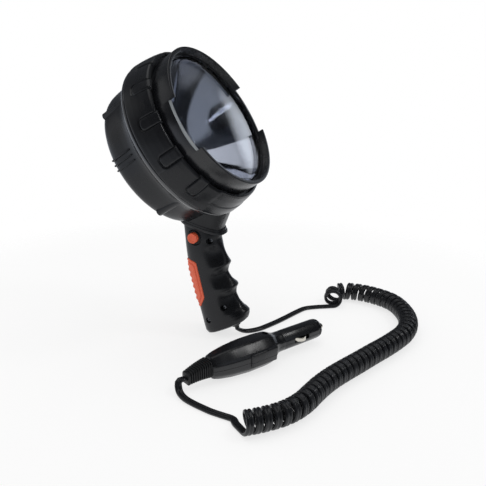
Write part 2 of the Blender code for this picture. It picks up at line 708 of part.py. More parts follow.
def make_bulb_clip(kit, frame):
    low = rim(bulb_seat() + FIT_GAP + CLIP_WIRE_RADIUS)
    high = rim(clip_place())
    inward = CLIP_REACH - 2 * CLIP_SPREAD / 5
    points = [(low, CLIP_REACH, -CLIP_SPREAD), (high, inward, -CLIP_SPREAD),
              (high, 0.0, -CLIP_SPREAD), (high, -inward * 0.7, -CLIP_SPREAD),
              (high, -inward, 0.0), (high, -inward * 0.7, CLIP_SPREAD),
              (high, 0.0, CLIP_SPREAD), (high, inward, CLIP_SPREAD), (low, CLIP_REACH, CLIP_SPREAD)]
    add_wire("bulb_clip", points, CLIP_WIRE_RADIUS, kit["steel"], frame, CLIP_WIRE_RADIUS * 3)


def band_inner_front():
    return HOOD_LENGTH + FIT_GAP + BAND_SHELF_THICKNESS


def tower_angles():
    return [math.pi / TOWER_COUNT + k * 2 * math.pi / TOWER_COUNT for k in range(TOWER_COUNT)]


def tower_point(distance, angle):
    return Vector((rim(distance), TOWER_CIRCLE * math.cos(angle), TOWER_CIRCLE * math.sin(angle)))


def make_front_band(kit, frame):
    shelf = rim(HOOD_LENGTH + FIT_GAP)
    lip_front = rim(reflector_front() + REFLECTOR_WALL + FIT_GAP)
    lip_outside = hood_bore() - FIT_GAP
    lip_inside = lip_outside - BAND_LIP_WALL
    shelf_back = rim(band_inner_front())
    inside_front = BAND_SHOULDER_RADIUS - BAND_WALL
    inside_rear = BAND_RADIUS - BAND_EDGE_ROUND - BAND_WALL
    outline = [
        (rim(BAND_FRONT), BAND_FRONT_RADIUS), (rim(BAND_FRONT), BAND_MOUTH_RADIUS),
        (shelf, BAND_MOUTH_RADIUS), (shelf, lip_outside), (lip_front, lip_outside),
        (lip_front, lip_inside), (shelf_back, lip_inside), (shelf_back, inside_front),
        (rim(BAND_REAR), inside_rear), (rim(BAND_REAR), BAND_RADIUS - BAND_EDGE_ROUND),
        (rim(BAND_LAND), BAND_RADIUS), (rim(BAND_MIDDLE), BAND_MIDDLE_RADIUS),
        (rim(BAND_SHOULDER), BAND_SHOULDER_RADIUS),
    ]
    band = add_object("front_band", turned_mesh(outline), kit["black_abs"], frame)
    bosses = joined_mesh([rod_mesh(tower_point(band_inner_front() - BAND_SHELF_THICKNESS / 2, a),
                                   tower_point(BAND_BOSS_REAR, a), BAND_BOSS_RADIUS, 10)
                          for a in tower_angles()])
    combine(band, add_guide("band_bosses", bosses, frame), "UNION")
    holes = joined_mesh([rod_mesh(tower_point(TOWER_SCREW_TIP - 4 * FIT_GAP, a),
                                  tower_point(BAND_BOSS_REAR + CUT_OVERRUN, a),
                                  SCREW_HOLE_RADIUS, 8) for a in tower_angles()])
    combine(band, add_guide("band_screw_holes", holes, frame))
    combine(band, add_guide("band_tabs", band_tabs_mesh(), frame), "UNION")


def band_tabs_mesh():
    """The raised tabs round the band's front, each a slanted slab on its surface."""
    tabs = []
    fall = (BAND_MIDDLE_RADIUS - BAND_SHOULDER_RADIUS) / (BAND_MIDDLE - BAND_SHOULDER)
    front_radius = BAND_SHOULDER_RADIUS + BAND_TAB_HEIGHT
    back_radius = front_radius + fall * (BAND_TAB_LENGTH - (BAND_SHOULDER - BAND_FRONT))
    sink = BAND_WALL / 2 + BAND_TAB_HEIGHT
    front, back = rim(BAND_SHOULDER), rim(BAND_FRONT + BAND_TAB_LENGTH)
    for k in range(BAND_TAB_COUNT):
        angle = BAND_TAB_FIRST_ANGLE + 2 * math.pi * k / BAND_TAB_COUNT
        turn = Matrix.Rotation(angle, 4, "X")
        half = BAND_TAB_WIDTH / 2
        rings = []
        for side in (-half, half):
            corners = [(front, front_radius - sink), (front, front_radius),
                       (back, back_radius), (back, back_radius - sink)]
            rings.append([turn @ Vector((x, radius, side)) for x, radius in corners])
        tabs.append(loft_mesh(rings))
    return joined_mesh(tabs)


def shell_outline():
    """Outer outline of the rear shell, from its front edge to its pole."""
    front = BAND_REAR + SEAM_GAP
    return [(rim(front + SHELL_LENGTH * along), BAND_RADIUS * share)
            for along, share in SHELL_OUTLINE_SHARES]


def make_rear_shell(kit, frame):
    outer = shell_outline()
    inner = shrink_outline(outer, SHELL_WALL)
    front = outer[0][0]
    slope = (BAND_RADIUS - BAND_SHOULDER_RADIUS - BAND_EDGE_ROUND) / (BAND_REAR - band_inner_front())
    spigot_front = front + SPIGOT_LENGTH
    spigot_outside = BAND_RADIUS - BAND_EDGE_ROUND - BAND_WALL - slope * SPIGOT_LENGTH - 2 * FIT_GAP
    spigot_inside = spigot_outside - SPIGOT_WALL
    inner[0] = (front, spigot_inside)
    inner[1] = (outer[1][0], spigot_inside)
    outline = outer + inner[:2:-2] + [inner[1]] + [(spigot_front, spigot_inside), (spigot_front, spigot_outside),
                                      (front, spigot_outside)]
    shell = add_object("rear_shell", turned_mesh(outline), kit["black_abs"], frame)
    towers = [rod_mesh(tower_point(TOWER_FRONT, a), tower_point(TOWER_REAR, a), TOWER_RADIUS, 12)
              for a in tower_angles()]
    combine(shell, add_guide("shell_towers", joined_mesh(towers), frame), "UNION")
    combine(shell, add_guide("shell_ribs", shell_ribs_mesh(), frame), "UNION")
    cuts = []
    for a in tower_angles():
        cuts.append(rod_mesh(tower_point(TOWER_RECESS_FLOOR, a),
                             tower_point(TOWER_REAR + CUT_OVERRUN, a), TOWER_RECESS_RADIUS, 10))
        cuts.append(rod_mesh(tower_point(TOWER_FRONT - CUT_OVERRUN, a),
                             tower_point(TOWER_RECESS_FLOOR + FIT_GAP, a), SCREW_HOLE_RADIUS, 8))
    combine(shell, add_guide("shell_recesses", joined_mesh(cuts[0::2]), frame))
    combine(shell, add_guide("shell_screw_holes", joined_mesh(cuts[1::2]), frame))
    hole = rod_mesh((rim(WIRE_HOLE_PLACE), 0, -BAND_RADIUS), (rim(WIRE_HOLE_PLACE), 0, -HOOD_LENGTH),
                    WIRE_HOLE_RADIUS)
    combine(shell, add_guide("wire_hole_cutter", hole, frame))


def shell_ribs_mesh():
    """Three ribs at each side of the rear shell."""
    ribs = []
    root = BAND_RADIUS * SHELL_OUTLINE_SHARES[6][1] - SHELL_WALL / 2
    for side in (0.0, math.pi):
        for k in range(RIB_COUNT):
            angle = side + (k - (RIB_COUNT - 1) / 2) * RIB_SPACING / BAND_RADIUS
            turn = Matrix.Rotation(angle, 4, "X")
            mesh = box_mesh((rim(RIB_REAR), root, -RIB_WIDTH / 2),
                            (rim(RIB_FRONT), root + SHELL_WALL + RIB_HEIGHT, RIB_WIDTH / 2))
            mesh.transform(turn)
            ribs.append(mesh)
    return joined_mesh(ribs)


def screw_mesh(seat, tip, head_radius, shank_radius, head_height):
    """A pan-head screw along X: the head stands behind the seat, the shank runs to the tip."""
    outline = [(seat - head_height, 0.0), (seat - head_height, head_radius * 0.75),
               (seat - head_height * 0.6, head_radius), (seat, head_radius), (seat, shank_radius),
               (tip - shank_radius, shank_radius), (tip, 0.0)]
    return turned_mesh(outline, SCREW_SEGMENTS, False)


def make_shell_screws(kit, frame):
    for number, angle in enumerate(tower_angles(), 1):
        seat = -FIT_GAP
        tip = TOWER_RECESS_FLOOR - TOWER_SCREW_TIP
        mesh = screw_mesh(seat, tip, SCREW_HEAD_RADIUS, SCREW_SHANK_RADIUS, SCREW_HEAD_HEIGHT)
        screw = add_object(f"shell_screw_{number}", mesh, kit["steel"], frame)
        screw.location = tower_point(TOWER_RECESS_FLOOR, angle)


def head_clearance_mesh():
    """The head's outer form grown by the fit gap, for cutting what seats on it."""
    grown = [(x - FIT_GAP, radius + FIT_GAP) for x, radius in shell_outline()]
    grown[-1] = (grown[-1][0], 0.0)
    outline = [(0.0, 0.0), (0.0, BAND_RADIUS + FIT_GAP)] + grown
    return turned_mesh(outline, HEAD_SEGMENTS, False)


# Handle

def share_row(table, place):
    """Row of a share table at a place along it, by straight interpolation."""
    columns = list(zip(*table))
    return [float(np.interp(place, columns[0], column)) for column in columns]


def handle_ring(place_share, grow=0.0, count=SECTION_POINTS, bump=0.0):
    """Section of the handle, in the handle's frame: X forwards, Y left, Z up."""
    _, rear, front, width, pinch, slant = share_row(HANDLE_SECTION_SHARES, place_share)
    ahead = front * HANDLE_FRONT_REACH + grow
    behind = rear * HANDLE_REAR_REACH + grow + bump
    half = width * HANDLE_HALF_WIDTH + grow
    ring = superellipse_ring(0.0, ahead, behind, half, HANDLE_SQUARENESS, count,
                             lambda x: -place_share * HANDLE_LENGTH + slant * x)
    for point in ring:
        forward = max(point.x, 0.0) / ahead
        point.y *= 1 - pinch * forward ** 1.5
    return ring


def handle_mesh(grow=0.0):
    return loft_mesh([handle_ring(row[0], grow) for row in HANDLE_SECTION_SHARES])


def cavity_mesh():
    """The handle's hollow, a wall inside its outer form."""
    places = np.linspace(CAVITY_TOP_SHARE, CAVITY_FLOOR_SHARE, CAVITY_STEPS)
    low = min(row[2] for row in HANDLE_SECTION_SHARES[3:-2])
    rings = []
    for place in places:
        _, rear, _, width, _, _ = share_row(HANDLE_SECTION_SHARES, place)
        ahead = low * HANDLE_FRONT_REACH - HANDLE_WALL
        behind = rear * HANDLE_REAR_REACH - HANDLE_WALL
        half = width * HANDLE_HALF_WIDTH - HANDLE_WALL
        rings.append(superellipse_ring(0.0, ahead, behind, half, HANDLE_SQUARENESS, 16,
                                       lambda x: -place * HANDLE_LENGTH))
    return loft_mesh(rings)


def across_rod(place, across, low, high, radius, segments=SMALL_SEGMENTS):
    """A rod along Y in the handle's frame, at a place down and across the handle."""
    return rod_mesh((across, low, -place), (across, high, -place), radius, segments)


def insert_prism(grow):
    """Side outline of the grip insert, extruded through the handle."""
    beyond = HANDLE_REAR_REACH + CUT_OVERRUN
    outline = [(-beyond, -INSERT_TOP + grow), (-INSERT_EDGE_ACROSS, -INSERT_TOP + grow),
               (-INSERT_SIDE_TOP + grow, -INSERT_CORNER_TOP + grow),
               (-INSERT_SIDE_BOTTOM + grow, -INSERT_CORNER_BOTTOM - grow),
               (-INSERT_EDGE_ACROSS, -INSERT_BOTTOM - grow), (-beyond, -INSERT_BOTTOM - grow)]
    return prism_mesh(outline, HANDLE_HALF_WIDTH + CUT_OVERRUN)


def insert_loft(grow, bumps=False):
    """The handle's back form along the insert, grown outwards or inwards."""
    steps = 2 * INSERT_BUMP_COUNT + 1
    rings = []
    first = (INSERT_TOP - CUT_OVERRUN / 2) / HANDLE_LENGTH
    last = (INSERT_BOTTOM + CUT_OVERRUN / 2) / HANDLE_LENGTH
    for k in range(steps):
        bump = INSERT_BUMP_HEIGHT if bumps and k % 2 else 0.0
        rings.append(handle_ring(first + (last - first) * k / (steps - 1), grow,
                                 SECTION_POINTS, bump))
    return loft_mesh(rings)


def make_handle(kit, frame, head_cutter):
    """Both handle halves, cut from one outer form."""
    screws = list(zip(HANDLE_SCREW_PLACES, HANDLE_SCREW_ACROSS, HANDLE_SCREW_SEATS))
    width = HANDLE_HALF_WIDTH + CUT_OVERRUN
    cavity = add_guide("handle_cavity", cavity_mesh(), frame)
    bosses = joined_mesh([across_rod(place, across, -width, width, HANDLE_BOSS_RADIUS, 12)
                          for place, across, _ in screws])
    combine(cavity, add_guide("handle_bosses", bosses, frame))
    pocket = add_guide("insert_pocket", insert_prism(FIT_GAP), frame)
    core = add_guide("insert_pocket_core", insert_loft(-INSERT_THICKNESS - FIT_GAP), frame)
    combine(pocket, core)
    recesses = joined_mesh([across_rod(place, across, -width, -seat,
                                       SCREW_HEAD_RADIUS + FIT_GAP, 12)
                            for place, across, seat in screws])
    recess_cutter = add_guide("handle_recesses", recesses, frame)
    holes = joined_mesh([across_rod(place, across, -seat - FIT_GAP, HANDLE_SCREW_TIP + 2 * FIT_GAP,
                                    SCREW_HOLE_RADIUS, 8) for place, across, seat in screws])
    hole_cutter = add_guide("handle_screw_holes", holes, frame)
    button_hole = add_guide("bezel_hole", across_rod(BUTTON_PLACE, BUTTON_ACROSS, -width,
                                                     -SWITCH_FACE, BEZEL_RADIUS + FIT_GAP), frame)
    grommet_hole = add_guide("grommet_hole", grommet_cutter_mesh(), frame)
    below = (1.1 * HANDLE_LENGTH, 0.4 * HANDLE_LENGTH)
    reach = 2 * HANDLE_FRONT_REACH
    for name, side in (("handle_right", -1), ("handle_left", 1)):
        half = add_object(name, handle_mesh(), kit["black_abs"], frame)
        near, far = -FIT_GAP / 2, width
        low_y, high_y = (near, far) if side < 0 else (-far, -near)
        other = add_guide(f"{name}_other_side", box_mesh((-reach, low_y, -below[0]),
                                                         (reach, high_y, below[1])), frame)
        combine(half, other)
        combine(half, cavity)
        combine(half, head_cutter)
        combine(half, pocket)
        if side < 0:
            combine(half, recess_cutter)
            combine(half, button_hole)
        combine(half, hole_cutter)
        combine(half, grommet_hole)
    make_grip_insert(kit, frame)
    make_handle_screws(kit, frame, screws)


def make_grip_insert(kit, frame):
    insert = add_object("grip_insert", insert_loft(INSERT_STAND, True), kit["orange_rubber"], frame)
    region = add_guide("insert_region", insert_prism(0.0), frame)
    combine(insert, region, "INTERSECT")
    combine(insert, add_guide("insert_core", insert_loft(-INSERT_THICKNESS), frame))


def make_handle_screws(kit, frame, screws):
    for number, (place, across, seat) in enumerate(screws, 1):
        mesh = screw_mesh(-FIT_GAP, seat + HANDLE_SCREW_TIP, SCREW_HEAD_RADIUS,
                          SCREW_SHANK_RADIUS, SCREW_HEAD_HEIGHT)
        mesh.transform(Matrix.Rotation(math.radians(90), 4, "Z"))
        screw = add_object(f"handle_screw_{number}", mesh, kit["steel"], frame)
        screw.location = (across, -seat, -place)


def collar_ring(height_share, front, rear, width):
    height = height_share * COLLAR_HEIGHT
    ahead, behind = front * COLLAR_FRONT_REACH, rear * COLLAR_REAR_REACH
    return superellipse_ring(0.0, ahead, behind, width * COLLAR_HALF_WIDTH, HANDLE_SQUARENESS,
                             SECTION_POINTS,
                             lambda x: -COLLAR_LIP_PLACE - COLLAR_SLANT * x + height)


def make_collar(kit, frame, head_cutter):
    rings = [collar_ring(*row) for row in COLLAR_SECTION_SHARES]
    collar = add_object("neck_collar", loft_mesh(rings), kit["black_abs"], frame)
    combine(collar, head_cutter)
    combine(collar, add_guide("collar_bore", handle_mesh(FIT_GAP), frame))


def make_button(kit, frame):
    """Button, bezel, spring and switch; the button's own origin is on its slide axis."""
    place, across = BUTTON_PLACE, BUTTON_ACROSS
    flange_front = BEZEL_INNER_FACE - FIT_GAP
    flange_back = flange_front - BUTTON_FLANGE_THICKNESS
    stem_end = flange_back - BUTTON_STEM_LENGTH
    cap = [(-BUTTON_FACE, 0.0), (-BUTTON_FACE, BUTTON_RADIUS - BUTTON_EDGE_ROUND),
           (-BUTTON_FACE + BUTTON_EDGE_ROUND, BUTTON_RADIUS), (-flange_front, BUTTON_RADIUS),
           (-flange_front, BUTTON_FLANGE_RADIUS), (-flange_back, BUTTON_FLANGE_RADIUS),
           (-flange_back, BUTTON_STEM_RADIUS), (-stem_end, BUTTON_STEM_RADIUS), (-stem_end, 0.0)]
    quarter = Matrix.Rotation(math.radians(90), 4, "Z")
    mesh = turned_mesh(cap, SMALL_SEGMENTS, False)
    mesh.transform(quarter)
    button = add_object("push_button", mesh, kit["orange_rubber"], frame)
    button.location = (across, 0.0, -place)
    hole = BUTTON_RADIUS + BUTTON_CLEARANCE
    ring = [(-BEZEL_FACE, BEZEL_RADIUS), (-BEZEL_FACE, hole), (-BEZEL_INNER_FACE, hole),
            (-BEZEL_INNER_FACE, BEZEL_RADIUS)]
    mesh = turned_mesh(ring, SMALL_SEGMENTS)
    mesh.transform(quarter)
    bezel = add_object("button_bezel", mesh, kit["black_rubber"], frame)
    bezel.location = (across, 0.0, -place)
    start = -flange_back + FIT_GAP + SPRING_WIRE_RADIUS
    end = -SWITCH_FACE - FIT_GAP - SPRING_WIRE_RADIUS
    coil = helix_points(start, end, SPRING_RADIUS, SPRING_TURNS, 10)
    spring = add_tube("button_spring", coil, SPRING_WIRE_RADIUS, kit["steel"], frame)
    spring.location = (across, 0.0, -place)
    half = SWITCH_HALF_DEPTH
    body = add_object("switch_body", box_mesh((across - half, -SWITCH_FACE, -SWITCH_BOTTOM),
                                              (across + half, SWITCH_BACK, -SWITCH_TOP)),
                      kit["black_abs"], frame)
    bore = across_rod(place, across, -SWITCH_FACE - CUT_OVERRUN, -SWITCH_FACE + SWITCH_BORE_DEPTH,
                      BUTTON_STEM_RADIUS + FIT_GAP, 12)
    combine(body, add_guide("switch_bore", bore, frame))


def helix_points(start, end, radius, turns, per_turn):
    """A helix along Y from start to end."""
    count = turns * per_turn
    return [Vector((radius * math.cos(2 * math.pi * k / per_turn),
                    start + (end - start) * k / count,
                    radius * math.sin(2 * math.pi * k / per_turn))) for k in range(count + 1)]


def add_tube(name, points, radius, material, parent, resolution=1):
    """A round tube through the given points, as a curve with a bevel and filled caps."""
    curve = bpy.data.curves.new(name, "CURVE")
    curve.dimensions = "3D"
    curve.bevel_depth = radius
    curve.bevel_resolution = resolution
    curve.render_resolution_u = 0
    curve.use_fill_caps = True
    spline = curve.splines.new("POLY")
    spline.points.add(len(points) - 1)
    for point, place in zip(spline.points, points):
        point.co = (*place, 1.0)
    curve.materials.append(material)
    item = bpy.data.objects.new(name, curve)
    item.parent = parent
    bpy.context.scene.collection.objects.link(item)
    return item


def grommet_face():
    """Height of the handle's underside where the grommet is, in the handle's frame."""
    last = HANDLE_SECTION_SHARES[-1]
    return -last[0] * HANDLE_LENGTH + last[5] * GROMMET_ACROSS


def grommet_cutter_mesh():
    face = grommet_face()
    rings = [superellipse_ring(GROMMET_ACROSS, GROMMET_HALF_DEPTH + FIT_GAP,
                               GROMMET_HALF_DEPTH + FIT_GAP, GROMMET_HALF_WIDTH + FIT_GAP, 3.0, 12,
                               lambda x, z=z: z)
             for z in (face - CUT_OVERRUN, -CAVITY_FLOOR_SHARE * HANDLE_LENGTH + CUT_OVERRUN)]
    return loft_mesh(rings)


def make_grommet(kit, frame):
    """Rubber bush with a lip under the handle and a shank in its hole."""
    face = grommet_face()
    slant = HANDLE_SECTION_SHARES[-1][5]
    rings = []

    def ring(height, grow, follow=0.0):
        rings.append(superellipse_ring(GROMMET_ACROSS, GROMMET_HALF_DEPTH + grow,
                                       GROMMET_HALF_DEPTH + grow, GROMMET_HALF_WIDTH + grow, 3.0, 12,
                                       lambda x: height + follow * x))

    ring(face + GROMMET_INSIDE, 0.0)
    ring(face - FIT_GAP, 0.0, slant)
    ring(face - FIT_GAP, GROMMET_LIP, slant)
    ring(face - FIT_GAP - GROMMET_LIP, GROMMET_LIP, slant)
    ring(face - GROMMET_STAND, 0.0)
    add_object("cord_grommet", loft_mesh(rings), kit["black_rubber"], frame)


# Leads inside the head

LEAD_RADIUS = 0.0011
LEAD_SPLIT = 0.0016
LEAD_BACK = 0.0925
LEAD_DEPTH_SHARES = ((0.02, 0.955), (0.10, 1.0), (0.42, 1.0), (0.70, 0.935), (0.86, 0.868), (0.99, 0.865))


def make_leads(kit, frame):
    """Two insulated wires from the bulb down to the top of the switch."""
    nub_back = bulb_seat() + FIT_GAP + BULB_FLANGE_THICKNESS + BULB_NUB_LENGTH
    top = (HANDLE_TOP_X + math.sin(HANDLE_RAKE) * (-SWITCH_TOP),
           HANDLE_TOP_Z + math.cos(HANDLE_RAKE) * (-SWITCH_TOP))
    hole_z = -BAND_RADIUS * SHELL_OUTLINE_SHARES[6][1]
    for name, side in (("hot_wire", 1), ("earth_wire", -1)):
        points = [(rim(nub_back + 2 * FIT_GAP), side * LEAD_SPLIT, 0.0)]
        for down, back in LEAD_DEPTH_SHARES:
            points.append((rim(LEAD_BACK * back), side * LEAD_SPLIT, hole_z * down))
        lift = 2 * FIT_GAP
        points.append((top[0] + math.sin(HANDLE_RAKE) * lift, side * LEAD_SPLIT,
                       top[1] + math.cos(HANDLE_RAKE) * lift))
        add_wire(name, points, LEAD_RADIUS, kit["pvc"], frame, 5 * LEAD_RADIUS)


# Plug

def plug_ring(place, half_width, half_height, squareness, count=SECTION_POINTS):
    ring = superellipse_ring(0.0, half_height, half_height, half_width, squareness, count,
                             lambda x: 0.0)
    return [Vector((place, point.y, point.x)) for point in ring]


def plug_rings(shrink=0.0, start=0.0, end=PLUG_LENGTH):
    """Sections of the plug's body and barrel between two places."""
    rings = []
    for along, width, height, squareness in PLUG_SECTION_SHARES:
        place = along * PLUG_LENGTH
        if start <= place <= end:
            rings.append(plug_ring(place, width * PLUG_HALF_WIDTH - shrink,
                                   height * PLUG_HALF_HEIGHT - shrink, squareness))
    for place in (BARREL_START_SHARE * PLUG_LENGTH, PLUG_LENGTH):
        if start <= place <= end:
            rings.append(plug_ring(place, BARREL_RADIUS - shrink, BARREL_RADIUS - shrink, 2.0))
    return rings


def x_rod(start, end, radius, segments=SMALL_SEGMENTS, y=0.0, z=0.0):
    return rod_mesh((start, y, z), (end, y, z), radius, segments)


def make_plug_shells(kit, frame):
    hollow = add_guide("plug_hollow", loft_mesh(plug_rings(PLUG_WALL, PLUG_CAVITY_START,
                                                           PLUG_CAVITY_END)), frame)
    column = rod_mesh((PLUG_SCREW_PLACE, 0, -PLUG_HALF_HEIGHT), (PLUG_SCREW_PLACE, 0,
                                                                PLUG_HALF_HEIGHT),
                      PLUG_SCREW_COLUMN, 12)
    combine(hollow, add_guide("plug_column", column, frame))
    bore = add_guide("barrel_bore", x_rod(BARREL_WEB_PLACE + BARREL_WEB_THICKNESS,
                                          PLUG_LENGTH + CUT_OVERRUN, BARREL_BORE_RADIUS), frame)
    half = LEAF_HALF_WIDTH + SLOT_CLEARANCE
    slots = box_mesh((LEAF_START - 2 * SLOT_CLEARANCE, -BARREL_RADIUS - CUT_OVERRUN, -half),
                     (LEAF_END + 2 * SLOT_CLEARANCE, BARREL_RADIUS + CUT_OVERRUN, half))
    slot_cutter = add_guide("leaf_slots", slots, frame)
    entry = BOOT_SPIGOT_HALF + FIT_GAP
    entry_cutter = add_guide("boot_entry", box_mesh((-CUT_OVERRUN, -entry, -entry),
                                                    (PLUG_CAVITY_START + CUT_OVERRUN, entry, entry)),
                             frame)
    recess = add_guide("plug_screw_recess", rod_mesh((PLUG_SCREW_PLACE, 0, PLUG_SCREW_SEAT),
                                                     (PLUG_SCREW_PLACE, 0, PLUG_HALF_HEIGHT),
                                                     SCREW_HEAD_RADIUS + FIT_GAP, 12), frame)
    hole = add_guide("plug_screw_hole", rod_mesh((PLUG_SCREW_PLACE, 0,
                                                  PLUG_SCREW_TIP - 2 * FIT_GAP),
                                                 (PLUG_SCREW_PLACE, 0, PLUG_SCREW_SEAT + FIT_GAP),
                                                 SCREW_HOLE_RADIUS, 8), frame)
    pads = add_guide("plug_pads", joined_mesh([
        box_mesh((PAD_START, min(side * PAD_REACH, side * PLUG_HALF_WIDTH / 2), -PAD_HALF_HEIGHT),
                 (PAD_END, max(side * PAD_REACH, side * PLUG_HALF_WIDTH / 2), PAD_HALF_HEIGHT))
        for side in (-1, 1)]), frame)
    reach = PLUG_HALF_WIDTH + CUT_OVERRUN
    for name, side in (("plug_upper_shell", 1), ("plug_lower_shell", -1)):
        shell = add_object(name, loft_mesh(plug_rings()), kit["gloss_abs"], frame)
        combine(shell, pads, "UNION")
        face = PLUG_SEAM + side * FIT_GAP / 2
        low, high = (-reach, face) if side > 0 else (face, reach)
        other = add_guide(f"{name}_other_side", box_mesh((-reach, -reach, low),
                                                         (PLUG_LENGTH + reach, reach, high)), frame)
        combine(shell, other)
        for cutter in (hollow, bore, slot_cutter, entry_cutter, hole):
            combine(shell, cutter)
        if side > 0:
            combine(shell, recess)


def make_plug_screw(kit, frame):
    mesh = screw_mesh(-FIT_GAP, PLUG_SCREW_SEAT - PLUG_SCREW_TIP, SCREW_HEAD_RADIUS,
                      SCREW_SHANK_RADIUS, SCREW_HEAD_HEIGHT)
    mesh.transform(Matrix.Rotation(math.radians(90), 4, "Y"))
    screw = add_object("plug_screw", mesh, kit["steel"], frame)
    screw.location = (PLUG_SCREW_PLACE, 0.0, PLUG_SCREW_SEAT)


def make_plug_tip(kit, frame):
    """Tip ring, centre pin, fuse and spring in line inside the barrel."""
    front = PLUG_LENGTH + FIT_GAP
    hole = PIN_RADIUS + FIT_GAP
    step = TIP_RING_LENGTH / 4
    ring = [(front, TIP_RING_RADIUS), (front, hole), (front + TIP_RING_LENGTH, hole),
            (front + TIP_RING_LENGTH, TIP_RING_RADIUS - step), (front + 3 * step, TIP_RING_RADIUS)]
    add_object("plug_tip_ring", turned_mesh(ring, SMALL_SEGMENTS), kit["gloss_abs"], frame)
    flange_front = PLUG_LENGTH
    flange_back = flange_front - PIN_FLANGE_THICKNESS
    tip = front + TIP_RING_LENGTH + PIN_REACH
    nose = PIN_RADIUS * PIN_NOSE_SHARE
    pin = [(flange_back, 0.0), (flange_back, PIN_FLANGE_RADIUS), (flange_front, PIN_FLANGE_RADIUS),
           (flange_front, PIN_RADIUS), (tip - PIN_RADIUS, PIN_RADIUS), (tip - nose / 2, nose),
           (tip, 0.0)]
    add_object("plug_pin", turned_mesh(pin, SMALL_SEGMENTS, False), kit["nickel"], frame)
    fuse_front = flange_back - PIN_TRAVEL - 2 * FIT_GAP
    fuse_back = fuse_front - FUSE_LENGTH
    return fuse_front, fuse_back


def make_fuse(kit, frame, fuse_back, spring_front):
    """Glass fuse on the web, with the spring between it and the pin."""
    start = fuse_back
    waist = FUSE_RADIUS - FIT_GAP
    outline = [(start, 0.0), (start, FUSE_RADIUS), (start + FUSE_CAP_LENGTH, FUSE_RADIUS),
               (start + FUSE_CAP_LENGTH, waist),
               (start + FUSE_LENGTH - FUSE_CAP_LENGTH, waist),
               (start + FUSE_LENGTH - FUSE_CAP_LENGTH, FUSE_RADIUS),
               (start + FUSE_LENGTH, FUSE_RADIUS), (start + FUSE_LENGTH, 0.0)]
    add_object("plug_fuse", turned_mesh(outline, 12, False), kit["clear"], frame)
    first = start + FUSE_LENGTH + FIT_GAP + PIN_SPRING_WIRE
    last = spring_front - FIT_GAP - PIN_SPRING_WIRE
    points = [Vector((p.y, p.x, p.z)) for p in
              helix_points(first, last, PIN_SPRING_RADIUS, PIN_SPRING_TURNS, 8)]
    add_tube("pin_spring", points, PIN_SPRING_WIRE, kit["steel"], frame)


def leaf_profile():
    """Middle line of a contact leaf, as (place, reach) points: foot, bow and toe."""
    points = [(LEAF_START - LEAF_FOOT, LEAF_ROOT)]
    for k in range(LEAF_STEPS + 1):
        share = k / LEAF_STEPS
        bow = math.sin(math.pi * share)
        points.append((LEAF_START + (LEAF_END - LEAF_START) * share,
                       LEAF_ROOT + (LEAF_REACH - LEAF_ROOT) * bow))
    return points


def make_plug_contacts(kit, frame):
    for name, side in (("plug_contact_left", 1), ("plug_contact_right", -1)):
        line = leaf_profile()
        inner = [(place, reach - LEAF_THICKNESS) for place, reach in line]
        outline = line + inner[::-1]
        rings = [[Vector((place, side * reach, z)) for place, reach in outline]
                 for z in (-LEAF_HALF_WIDTH, LEAF_HALF_WIDTH)]
        add_object(name, loft_mesh(rings), kit["nickel"], frame, math.radians(40))


def boot_ring(along, half_width, half_height):
    drop = -BOOT_DROOP * (max(-along, 0.0) / BOOT_LENGTH) ** 2
    ring = plug_ring(along, half_width, half_height, 4.0, BOOT_POINTS)
    return [Vector((point.x, point.y, point.z + drop)) for point in ring]


def make_boot(kit, frame):
    """Ribbed strain relief that tapers away from the plug."""
    pitch = (BOOT_LENGTH - FIT_GAP) / BOOT_RIBS
    last = BOOT_RIBS - 1
    spigot = BOOT_SPIGOT_HALF
    rings = [boot_ring(BOOT_SPIGOT_LENGTH, spigot, spigot), boot_ring(-FIT_GAP, spigot, spigot)]
    for k in range(BOOT_RIBS):
        start = -FIT_GAP - k * pitch
        middle = start - pitch * 0.55
        steps = [(start, 0.0), (middle, 0.0), (middle, BOOT_GROOVE), (start - pitch, BOOT_GROOVE)]
        if k == last:
            steps = [(start, 0.0), (start - pitch, 0.0)]
        for along, groove in steps:
            taper = 1 - (1 - BOOT_END_SHARE) * (-along / BOOT_LENGTH)
            rings.append(boot_ring(along, BOOT_HALF_WIDTH * taper - groove,
                                   BOOT_HALF_HEIGHT * taper - groove))
    add_object("plug_boot", loft_mesh(rings), kit["black_rubber"], frame)


# Cord

def section_points():
    """Flat six-sided section of the cord, as (across, thick) offsets."""
    half, thick = CORD_WIDTH / 2, CORD_THICKNESS / 2
    shoulder = half - thick * 0.8
    return [(-half, 0.0), (-shoulder, thick), (shoulder, thick), (half, 0.0), (shoulder, -thick),
            (-shoulder, -thick)]


def sweep_flat(name, path, across, outward, material):
    """Sweeps the cord's flat section along a path with its across and outward directions."""
    rings = [[point + a * side + b * out for a, b in section_points()]
             for point, side, out in zip(path, across, outward)]
    return add_object(name, loft_mesh(rings), material, None, math.radians(50))


